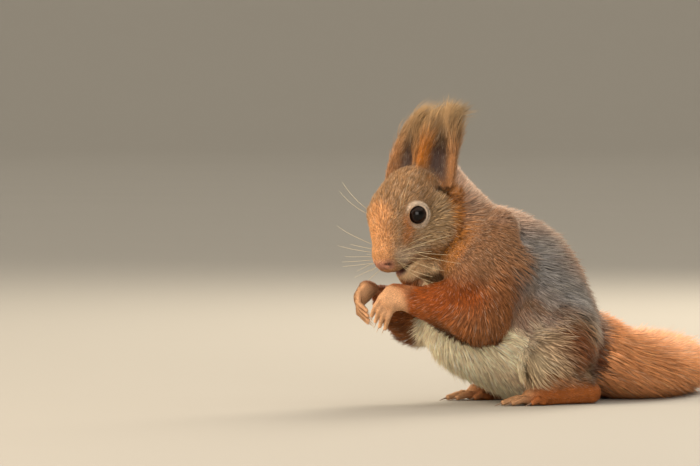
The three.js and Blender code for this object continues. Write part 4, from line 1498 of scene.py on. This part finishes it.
def coat_material(name, gloss):
    """Guard hair: a dull keratin shaft, a little darker and lighter from lock to lock."""
    material, tree, shader = new_material(name)
    paint = add_node(tree, "ShaderNodeAttribute", (-600, 200), attribute_name="hair_colour")
    place = add_node(tree, "ShaderNodeTexCoord", (-900, -100))
    locks = add_node(
        tree, "ShaderNodeTexNoise", (-650, -100),
        {"Vector": place.outputs["Object"], "Scale": 260.0, "Detail": 3.0},
    )
    spread = add_node(
        tree, "ShaderNodeMapRange", (-420, -100),
        {"Value": locks.outputs["Fac"], "From Min": 0.3, "From Max": 0.7, "To Min": 0.82, "To Max": 1.16},
    )
    mixed = add_node(
        tree, "ShaderNodeVectorMath", (-150, 150),
        {0: paint.outputs["Color"], 1: spread.outputs["Result"]}, operation="MULTIPLY",
    )
    tree.links.new(mixed.outputs["Vector"], shader.inputs["Base Color"])
    rough = add_node(
        tree, "ShaderNodeMapRange", (-150, -150),
        {"Value": locks.outputs["Fac"], "To Min": gloss + 0.08, "To Max": gloss - 0.08},
    )
    tree.links.new(rough.outputs["Result"], shader.inputs["Roughness"])
    shader.inputs["IOR"].default_value = 1.55
    shader.inputs["Specular IOR Level"].default_value = 0.16
    return material


def skin_material():
    """Skin under the coat, and where it is bare a fine wrinkled hide, moist on the nose, lips and lids."""
    material, tree, shader = new_material("hide_fine_wrinkled")
    paint = add_node(tree, "ShaderNodeAttribute", (-700, 250), attribute_name="marking")
    bare = add_node(tree, "ShaderNodeAttribute", (-700, 50), attribute_name="bare")
    place = add_node(tree, "ShaderNodeTexCoord", (-900, -200))
    pores = add_node(
        tree, "ShaderNodeTexNoise", (-650, -200),
        {"Vector": place.outputs["Object"], "Scale": 1400.0, "Detail": 4.0},
    )
    # painted shade: the skin under the coat is darker than where it is bare
    shade = add_node(
        tree, "ShaderNodeMapRange", (-420, 50),
        {"Value": bare.outputs["Fac"], "To Min": 0.68, "To Max": 0.95},
    )
    speck = add_node(
        tree, "ShaderNodeMapRange", (-420, -200),
        {"Value": pores.outputs["Fac"], "From Min": 0.3, "From Max": 0.7, "To Min": 0.8, "To Max": 1.15},
    )
    dark = add_node(
        tree, "ShaderNodeMath", (-200, 50), {0: shade.outputs["Result"], 1: speck.outputs["Result"]},
        operation="MULTIPLY",
    )
    mixed = add_node(
        tree, "ShaderNodeVectorMath", (0, 200), {0: paint.outputs["Color"], 1: dark.outputs["Value"]},
        operation="MULTIPLY",
    )
    tree.links.new(mixed.outputs["Vector"], shader.inputs["Base Color"])
    rough = add_node(
        tree, "ShaderNodeMapRange", (0, 0), {"Value": bare.outputs["Fac"], "To Min": 0.85, "To Max": 0.45}
    )
    tree.links.new(rough.outputs["Result"], shader.inputs["Roughness"])
    bump = add_node(
        tree, "ShaderNodeBump", (0, -250),
        {"Height": pores.outputs["Fac"], "Strength": 0.35, "Distance": 0.0003},
    )
    tree.links.new(bump.outputs["Normal"], shader.inputs["Normal"])
    shader.inputs["Specular IOR Level"].default_value = 0.4
    return material


# ---------------------------------------------------------------- eyes

CORNEA_RISE = 0.35  # how far the clear front stands out of the ball
CORNEA_EDGE = math.radians(52)  # where it ends, from the gaze
EYE_PLAY = 0.1  # between the ball and its socket
IRIS_EDGE = 0.3  # where the dark iris ends, as a share of the way round to the back


def eye_material():
    """A wet eye: a near-black pupil in a deep brown iris, glossy all over the ball and its bulging cornea."""
    material, tree, shader = new_material("eye_wet_cornea")
    turn = add_node(tree, "ShaderNodeAttribute", (-900, 100), attribute_name="from_pupil")
    place = add_node(tree, "ShaderNodeTexCoord", (-900, -200))
    fibres = add_node(
        tree, "ShaderNodeTexNoise", (-700, -200),
        {"Vector": place.outputs["Object"], "Scale": 1800.0, "Detail": 2.0},
    )
    shift = add_node(
        tree, "ShaderNodeMapRange", (-500, -200),
        {"Value": fibres.outputs["Fac"], "To Min": -0.03, "To Max": 0.03},
    )
    ragged = add_node(
        tree, "ShaderNodeMath", (-300, 50),
        {0: turn.outputs["Fac"], 1: shift.outputs["Result"]}, operation="ADD",
    )
    ramp = add_node(tree, "ShaderNodeValToRGB", (-100, 50), {"Fac": ragged.outputs["Value"]})
    stops = ((0.0, "#050303"), (0.13, "#070403"), (0.2, "#21120c"), (0.27, "#160b08"), (IRIS_EDGE, "#080404"))
    while len(ramp.color_ramp.elements) < len(stops):
        ramp.color_ramp.elements.new(0.5)
    for element, (position, code) in zip(ramp.color_ramp.elements, stops):
        element.position = position
        element.color = (*linear(code), 1)
    tree.links.new(ramp.outputs["Color"], shader.inputs["Base Color"])
    shader.inputs["Roughness"].default_value = 0.05
    shader.inputs["IOR"].default_value = 1.34
    shader.inputs["Specular IOR Level"].default_value = 0.42
    return material


def add_eye(name, material, rings=36, around=48):
    eye = eye_axes(SIDES[name])
    falls = np.linspace(0, math.pi, rings + 1)[1:-1]
    turns = np.arange(around) / around * 2 * math.pi
    fall, turn = np.meshgrid(falls, turns, indexing="ij")
    radius = eye_radius() + CORNEA_RISE * np.clip(1 - (fall / CORNEA_EDGE) ** 2, 0, 1) ** 1.5 - EYE_PLAY
    local = np.stack([np.cos(fall), np.sin(fall) * np.cos(turn), np.sin(fall) * np.sin(turn)], axis=-1)
    local = (local * radius[..., None]).reshape(-1, 3)
    front = eye_radius() - EYE_PLAY + CORNEA_RISE
    local = np.concatenate([local, [[front, 0, 0], [EYE_PLAY - eye_radius(), 0, 0]]])
    points = eye.at + local @ np.stack([eye.forward, eye.left, eye.up])
    k = np.arange(around)
    after = (k + 1) % around
    quads = np.concatenate([
        np.stack([r * around + k, (r + 1) * around + k, (r + 1) * around + after, r * around + after], axis=1)
        for r in range(rings - 2)
    ])
    first, last = len(points) - 2, len(points) - 1
    bottom = (rings - 2) * around
    fans = np.concatenate([
        np.stack([np.full(around, first), k, after], axis=1),
        np.stack([np.full(around, last), bottom + after, bottom + k], axis=1),
    ])
    piece = new_mesh(f"eyeball_{name}", points, [fans, quads], material)
    turned = np.concatenate([fall.reshape(-1) / math.pi, [0, 1]])
    write_attribute(piece.data, "from_pupil", "FLOAT", turned)
    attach(piece, "root")
    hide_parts(f"eye_{name}")


# ---------------------------------------------------------------- claws and whiskers


def tapered_tube_nodes():
    """Sweeps a round section along every curve, from a root radius to a tip radius."""
    tree = bpy.data.node_groups.new("tapered tube", "GeometryNodeTree")
    face = tree.interface
    face.new_socket("Geometry", in_out="INPUT", socket_type="NodeSocketGeometry")
    for name, value in (("Root radius", 0.0005), ("Tip radius", 0.0001)):
        face.new_socket(name, in_out="INPUT", socket_type="NodeSocketFloat").default_value = value
    face.new_socket("Sides", in_out="INPUT", socket_type="NodeSocketInt").default_value = 8
    face.new_socket("Material", in_out="INPUT", socket_type="NodeSocketMaterial")
    face.new_socket("Geometry", in_out="OUTPUT", socket_type="NodeSocketGeometry")
    given = add_node(tree, "NodeGroupInput", (-800, 0))
    along = add_node(tree, "GeometryNodeSplineParameter", (-800, 250))
    radius = add_node(
        tree, "ShaderNodeMapRange", (-600, 250),
        {"Value": along.outputs["Factor"],
         "To Min": given.outputs["Root radius"], "To Max": given.outputs["Tip radius"]},
    )
    marked = add_node(
        tree, "GeometryNodeStoreNamedAttribute", (-200, 100),
        {"Geometry": given.outputs["Geometry"], "Name": "along", "Value": along.outputs["Factor"]},
        data_type="FLOAT",
    )
    section = add_node(
        tree, "GeometryNodeCurvePrimitiveCircle", (-400, -150),
        {"Resolution": given.outputs["Sides"], "Radius": 1.0},
    )
    swept = add_node(
        tree, "GeometryNodeCurveToMesh", (0, 100),
        {"Curve": marked.outputs["Geometry"], "Profile Curve": section.outputs["Curve"],
         "Scale": radius.outputs["Result"], "Fill Caps": True},
    )
    real = add_node(tree, "GeometryNodeRealizeInstances", (200, 100), {"Geometry": swept.outputs["Mesh"]})
    clad = add_node(
        tree, "GeometryNodeSetMaterial", (400, 100),
        {"Geometry": real.outputs["Geometry"], "Material": given.outputs["Material"]},
    )
    add_node(tree, "NodeGroupOutput", (600, 100), {"Geometry": clad.outputs["Geometry"]})
    return tree


def swept_piece(name, paths, inputs):
    """Sweeps the tapered tube along paths and turns the result into a plain mesh."""
    data = bpy.data.curves.new(name, "CURVE")
    data.dimensions = "3D"
    for path in paths:
        spline = data.splines.new("POLY")
        spline.points.add(len(path) - 1)
        places = np.concatenate([np.array(path) * MM, np.ones((len(path), 1))], axis=1)
        spline.points.foreach_set("co", places.astype(np.float32).reshape(-1))
    guide = bpy.data.objects.new(name + "_paths", data)
    bpy.context.scene.collection.objects.link(guide)
    modifier = guide.modifiers.new("tapered tube", "NODES")
    modifier.node_group = tapered_tube_nodes()
    for item in modifier.node_group.interface.items_tree:
        if item.in_out == "INPUT" and item.name in inputs:
            modifier[item.identifier] = inputs[item.name]
    evaluated = guide.evaluated_get(bpy.context.evaluated_depsgraph_get())
    mesh = bpy.data.meshes.new_from_object(evaluated)
    mesh.name = name
    mesh.shade_smooth()
    piece = bpy.data.objects.new(name, mesh)
    bpy.context.scene.collection.objects.link(piece)
    bpy.data.objects.remove(guide)
    bpy.data.curves.remove(data)
    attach(piece, "root")
    return piece


def keratin(name, root, tip, roughness):
    """Smooth horn or stiff hair: it runs from one tone at the root to another at the point."""
    material, tree, shader = new_material(name)
    along = add_node(tree, "ShaderNodeAttribute", (-600, 100), attribute_name="along")
    place = add_node(tree, "ShaderNodeTexCoord", (-900, -200))
    grain = add_node(
        tree, "ShaderNodeTexNoise", (-650, -200),
        {"Vector": place.outputs["Object"], "Scale": 2200.0, "Detail": 2.0},
    )
    ramp = add_node(tree, "ShaderNodeValToRGB", (-300, 100), {"Fac": along.outputs["Fac"]})
    ramp.color_ramp.elements[0].color = (*root, 1)
    ramp.color_ramp.elements[1].color = (*tip, 1)
    speck = add_node(
        tree, "ShaderNodeMapRange", (-300, -200),
        {"Value": grain.outputs["Fac"], "To Min": 0.8, "To Max": 1.2},
    )
    mixed = add_node(
        tree, "ShaderNodeVectorMath", (0, 100), {0: ramp.outputs["Color"], 1: speck.outputs["Result"]},
        operation="MULTIPLY",
    )
    tree.links.new(mixed.outputs["Vector"], shader.inputs["Base Color"])
    bump = add_node(
        tree, "ShaderNodeBump", (0, -250),
        {"Height": grain.outputs["Fac"], "Strength": 0.15, "Distance": 0.0002},
    )
    tree.links.new(bump.outputs["Normal"], shader.inputs["Normal"])
    shader.inputs["Roughness"].default_value = roughness
    shader.inputs["IOR"].default_value = 1.55
    return material


def bent(start, middle, end, steps):
    t = np.linspace(0, 1, steps)[:, None]
    return (1 - t) ** 2 * start + 2 * t * (1 - t) * middle + t * t * end


CLAW_STEPS = 7
CLAW_SUNK = 1.1  # how far its root lies inside the finger's or toe's end


def claw_path(node, limb):
    """The middle line of a claw, from inside its finger or toe to its point."""
    points, _ = merged(node)
    kind, name = limb.split("_")
    digits = {"hand": fanned_fingers, "foot": toe_lines}[kind](SIDES[name])
    across = unit(digits[0][0] - digits[-1][0])
    _, bend, end = min(digits, key=lambda line: np.linalg.norm(points - line[-1], axis=1).min())
    root = points[np.argsort(np.linalg.norm(points - end, axis=1))[:4]].mean(0)
    tip = points[np.argmax(np.linalg.norm(points - root, axis=1))]
    middle = 2 * points.mean(0) - (root + tip) / 2
    aside = across * ((end - root) @ across)
    start = end - CLAW_SUNK * unit(end - bend)
    return bent(start, middle + aside, tip + aside, CLAW_STEPS)


def add_claws(limb, settings, material):
    nodes = [node for node in sorted(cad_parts) if node.startswith(limb.replace("_", "_claw_"))]
    paths = [claw_path(node, limb) for node in nodes]
    piece = swept_piece(f"claws_{limb}", paths, {
        "Root radius": settings.hand_claw_root_size if limb.startswith("hand") else settings.claw_root,
        "Tip radius": settings.claw_tip, "Sides": 10, "Material": material,
    })
    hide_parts(*nodes)


WHISKER_ROWS = 4
WHISKER_COLUMNS = 3
WHISKER_STEPS = 14
BROW_WHISKERS = 2
BROW_REACH = 0.42  # their length, as a share of the longest ones
WHISKER_SUNK = 0.5


def whisker_paths(skin, settings):
    """Rows of whiskers on the pads, swept out and back, longest at the back, and a few over the eyes."""
    rng = np.random.default_rng(settings.seed)
    paths = []
    for side in SIDES.values():
        for row in range(WHISKER_ROWS):
            for column in range(WHISKER_COLUMNS):
                back, down = column / (WHISKER_COLUMNS - 1), row / (WHISKER_ROWS - 1)
                spot = HEAD.place(21 - 8 * back, side * (6 + 3.5 * back), -7.2 - 5.2 * down)
                reach = settings.whisker / MM * (0.62 + 0.1 * back) * rng.uniform(0.75, 1.15)
                reach *= 1 - 0.25 * down
                ahead = 0.55 - 0.45 * back + rng.normal(0, 0.08)
                rise = 0.5 - 0.75 * down + rng.normal(0, 0.08)
                paths.append((spot, HEAD.way(ahead, side, rise), HEAD.way(-0.6, 0.3 * side, -0.5), reach))
        for k in range(BROW_WHISKERS):
            spot = HEAD.place(5 - 2 * k, side * (11 + 0.6 * k), 6.5)
            reach = settings.whisker / MM * BROW_REACH * rng.uniform(0.85, 1.1)
            way = HEAD.way(0.1 - 0.2 * k, 0.8 * side, 0.9)
            paths.append((spot, way, HEAD.way(-0.8, 0.2 * side, 0.1), reach))
    lines = []
    for spot, way, bend, reach in paths:
        found, root, normal, _ = skin.closest_point_on_mesh(Vector(spot * MM))
        if not found:
            raise RuntimeError("a whisker has no skin to grow from")
        root = np.array(root) / MM - WHISKER_SUNK * np.array(normal)
        end = root + reach * (0.92 * way + 0.28 * bend)
        lines.append(bent(root, root + 0.5 * reach * way, end, WHISKER_STEPS))
    return lines


# ---------------------------------------------------------------- stage

AIM = (-77.3, 39.4, 81.1)  # what the camera looks at
LIGHT_AIM = (0, 0, 70)
# The floor is round and curves up into a wall all round, in metres
FLOOR_RADIUS = 9.0
CURVE_RADIUS = 4.0
WALL_HEIGHT = 9.0
# Soft lights: azimuth and elevation in degrees, distance, size and power, tint
LIGHTS = {
    "key_light": (-94, 24, 1.6, 0.8, 26, "#ffe9cc"),
    "rim_light": (128, 34, 1.6, 0.8, 22, "#fff0d8"),
    "fill_light": (-24, 12, 2.2, 1.4, 27, "#fff8ee"),
}


def way_to(azimuth, elevation):
    return Vector((
        math.sin(azimuth) * math.cos(elevation), -math.cos(azimuth) * math.cos(elevation), math.sin(elevation)
    ))


def add_camera(settings):
    scene = bpy.context.scene
    data = bpy.data.cameras.new("camera")
    data.lens = settings.lens
    data.sensor_width = 36
    data.clip_end = 100
    camera = bpy.data.objects.new("camera", data)
    back = way_to(settings.azimuth, settings.elevation)
    camera.location = Vector(AIM) * MM + settings.distance * back
    camera.rotation_euler = back.to_track_quat("Z", "Y").to_euler()
    scene.collection.objects.link(camera)
    scene.camera = camera


def add_lights(settings):
    for name, (azimuth, elevation, distance, size, power, tint) in LIGHTS.items():
        data = bpy.data.lights.new(name, "AREA")
        data.size = size
        data.energy = power
        data.color = linear(tint)
        light = bpy.data.objects.new(name, data)
        back = way_to(math.radians(azimuth), math.radians(elevation))
        light.location = Vector(LIGHT_AIM) * MM + distance * back
        light.rotation_euler = back.to_track_quat("Z", "Y").to_euler()
        bpy.context.scene.collection.objects.link(light)
    world = bpy.data.worlds.new("room")
    world.use_nodes = True
    room = world.node_tree.nodes["Background"]
    room.inputs["Color"].default_value = (*settings.room, 1)
    room.inputs["Strength"].default_value = settings.room_strength
    bpy.context.scene.world = world
    bpy.context.scene.view_settings.view_transform = "Standard"


def floor_material(settings):
    """Smooth painted board, matt, with a faint unevenness."""
    material, tree, shader = new_material("floor_matt_paint")
    place = add_node(tree, "ShaderNodeTexCoord", (-700, 0))
    uneven = add_node(
        tree, "ShaderNodeTexNoise", (-500, 0),
        {"Vector": place.outputs["Object"], "Scale": 3.0, "Detail": 2.0},
    )
    rough = add_node(
        tree, "ShaderNodeMapRange", (-250, 0), {"Value": uneven.outputs["Fac"], "To Min": 0.75, "To Max": 0.9}
    )
    tree.links.new(rough.outputs["Result"], shader.inputs["Roughness"])
    shader.inputs["Base Color"].default_value = (*settings.floor, 1)
    return material


def add_floor(settings, around=96, steps=16):
    """A flat round floor that curves up into a wall, out of one sheet."""
    turns = np.linspace(0, math.pi / 2, steps)
    profile = [(FLOOR_RADIUS + CURVE_RADIUS * math.sin(t), CURVE_RADIUS * (1 - math.cos(t))) for t in turns]
    profile.append((FLOOR_RADIUS + CURVE_RADIUS, WALL_HEIGHT))
    points = [(0, 0, 0)]
    for radius, height in profile:
        for k in range(around):
            turn = 2 * math.pi * k / around
            points.append((radius * math.cos(turn) / MM, radius * math.sin(turn) / MM, height / MM))
    k = np.arange(around)
    after = (k + 1) % around
    middle = np.stack([np.zeros(around, int), 1 + k, 1 + after], axis=1)
    rings = [1 + r * around for r in range(len(profile) - 1)]
    quads = np.concatenate([
        np.stack([r + k, r + around + k, r + around + after, r + after], axis=1) for r in rings
    ])
    floor = new_mesh("floor", np.array(points, float), [middle, quads], floor_material(settings))


# ---------------------------------------------------------------- operators


class SQUIRREL_OT_skin(bpy.types.Operator):
    """Models the skin as one piece inside the CAD's flesh, and paints the markings on it"""

    bl_idname = "squirrel.skin"
    bl_label = "Skin"

    def execute(self, context):
        settings, palette = context.scene.squirrel_skin, context.scene.squirrel_markings
        clay, depth, flesh, nodes = skin_clay(settings)
        points, triangles, quads = clay.grid().convertToPolygons(0.0, SKIN_ADAPTIVITY)
        points, faces, away = only_reached(points, [triangles.astype(int), quads.astype(int)])
        skin = new_mesh("skin", points, faces, skin_material())
        mesh = skin.data
        normals = mesh_normals(mesh)
        table = part_distances(points, nodes, depth)
        paint = markings(points, normals, group_shares(table), palette)
        rgba = np.concatenate([paint, np.ones((len(points), 1))], axis=1)
        write_attribute(mesh, "marking", "FLOAT_COLOR", rgba)
        write_attribute(mesh, "bare", "FLOAT", bareness(points, normals))
        write_attribute(mesh, "coat_depth", "FLOAT", coat_depths(points, depth, flesh) * MM)
        write_attribute(mesh, "tuft", "FLOAT", tuft_shares(points))
        write_attribute(mesh, "part", "INT", table.argmin(1))
        write_attribute(mesh, "lie", "FLOAT_VECTOR", lie_of_coat(points, normals, edges_of(faces), away))
        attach(skin, "root")
        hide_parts(*FLESH)
        return {"FINISHED"}


def the_skin():
    skin = bpy.data.objects.get("skin")
    if skin is None:
        raise RuntimeError("make the skin first")
    return skin


class SQUIRREL_OT_coat(bpy.types.Operator):
    """Grows the coat on the skin, piece by piece"""

    bl_idname = "squirrel.coat"
    bl_label = "Coat"

    def execute(self, context):
        skin, settings = the_skin(), context.scene.squirrel_coat
        slots = sorted({slot for *_, slot in COAT_PIECES.values()})
        materials = {slot: coat_material(f"guard_hair_{slot[4:]}", 0.6) for slot in slots}
        for name in COAT_PIECES:
            piece = grow(name, skin, settings, context.scene.squirrel_markings, materials)
            if name == "coat_tufts":
                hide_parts("ear_tuft_left", "ear_tuft_right")
        return {"FINISHED"}


class SQUIRREL_OT_eyes(bpy.types.Operator):
    """Makes the two eyeballs"""

    bl_idname = "squirrel.eyes"
    bl_label = "Eyes"

    def execute(self, context):
        material = eye_material()
        for name in SIDES:
            add_eye(name, material)
        return {"FINISHED"}


class SQUIRREL_OT_claws(bpy.types.Operator):
    """Makes the claws of the hands and feet"""

    bl_idname = "squirrel.claws"
    bl_label = "Claws"

    def execute(self, context):
        settings = context.scene.squirrel_hard
        pale = keratin("claw_keratin_pale", settings.hand_claw_root, settings.hand_claw_tip, 0.35)
        dark = keratin("claw_keratin_dark", settings.foot_claw_root, settings.foot_claw_tip, 0.35)
        for name in SIDES:
            add_claws(f"hand_{name}", settings, pale)
            add_claws(f"foot_{name}", settings, dark)
        return {"FINISHED"}


class SQUIRREL_OT_whiskers(bpy.types.Operator):
    """Makes the whiskers of the muzzle and over the eyes"""

    bl_idname = "squirrel.whiskers"
    bl_label = "Whiskers"

    def execute(self, context):
        settings = context.scene.squirrel_hard
        material = keratin("whisker_stiff_hair", settings.whisker_root, settings.whisker_tip, 0.4)
        piece = swept_piece("whiskers", whisker_paths(the_skin(), settings), {
            "Root radius": settings.whisker_thick / 2, "Tip radius": settings.whisker_thin / 2, "Sides": 6,
            "Material": material,
        })
        return {"FINISHED"}


class SQUIRREL_OT_stage(bpy.types.Operator):
    """Sets up the floor, the lights and the camera"""

    bl_idname = "squirrel.stage"
    bl_label = "Stage"

    def execute(self, context):
        settings = context.scene.squirrel_stage
        add_floor(settings)
        add_lights(settings)
        add_camera(settings)
        return {"FINISHED"}


class SQUIRREL_PT_panel(bpy.types.Panel):
    """Lists the steps that dress the squirrel, each with its settings"""

    bl_label = "Red squirrel"
    bl_idname = "SQUIRREL_PT_panel"
    bl_space_type = "VIEW_3D"
    bl_region_type = "UI"
    bl_category = "Squirrel"

    def draw(self, context):
        for title, key, group, operators in STEPS:
            box = self.layout.box()
            box.label(text=title)
            for name in group.__annotations__:
                box.prop(getattr(context.scene, key), name)
            for operator in operators:
                box.operator(operator.bl_idname)


STEPS = (
    ("Skin", "squirrel_skin", SkinSettings, (SQUIRREL_OT_skin,)),
    ("Markings", "squirrel_markings", MarkingSettings, ()),
    ("Coat", "squirrel_coat", CoatSettings, (SQUIRREL_OT_coat,)),
    ("Eyes, claws and whiskers", "squirrel_hard", HardSettings,
     (SQUIRREL_OT_eyes, SQUIRREL_OT_claws, SQUIRREL_OT_whiskers)),
    ("Stage", "squirrel_stage", StageSettings, (SQUIRREL_OT_stage,)),
)


def register():
    for _, key, group, operators in STEPS:
        for kind in (group, *operators):
            bpy.utils.register_class(kind)
        setattr(bpy.types.Scene, key, PointerProperty(type=group))
    bpy.utils.register_class(SQUIRREL_PT_panel)


def unregister():
    bpy.utils.unregister_class(SQUIRREL_PT_panel)
    for _, key, group, operators in STEPS:
        delattr(bpy.types.Scene, key)
        for kind in (group, *operators):
            bpy.utils.unregister_class(kind)


def main():
    register()
    bpy.ops.squirrel.stage()
    bpy.ops.squirrel.skin()
    bpy.ops.squirrel.coat()
    bpy.ops.squirrel.eyes()
    bpy.ops.squirrel.claws()
    bpy.ops.squirrel.whiskers()


if __name__ == "__main__":
    main()
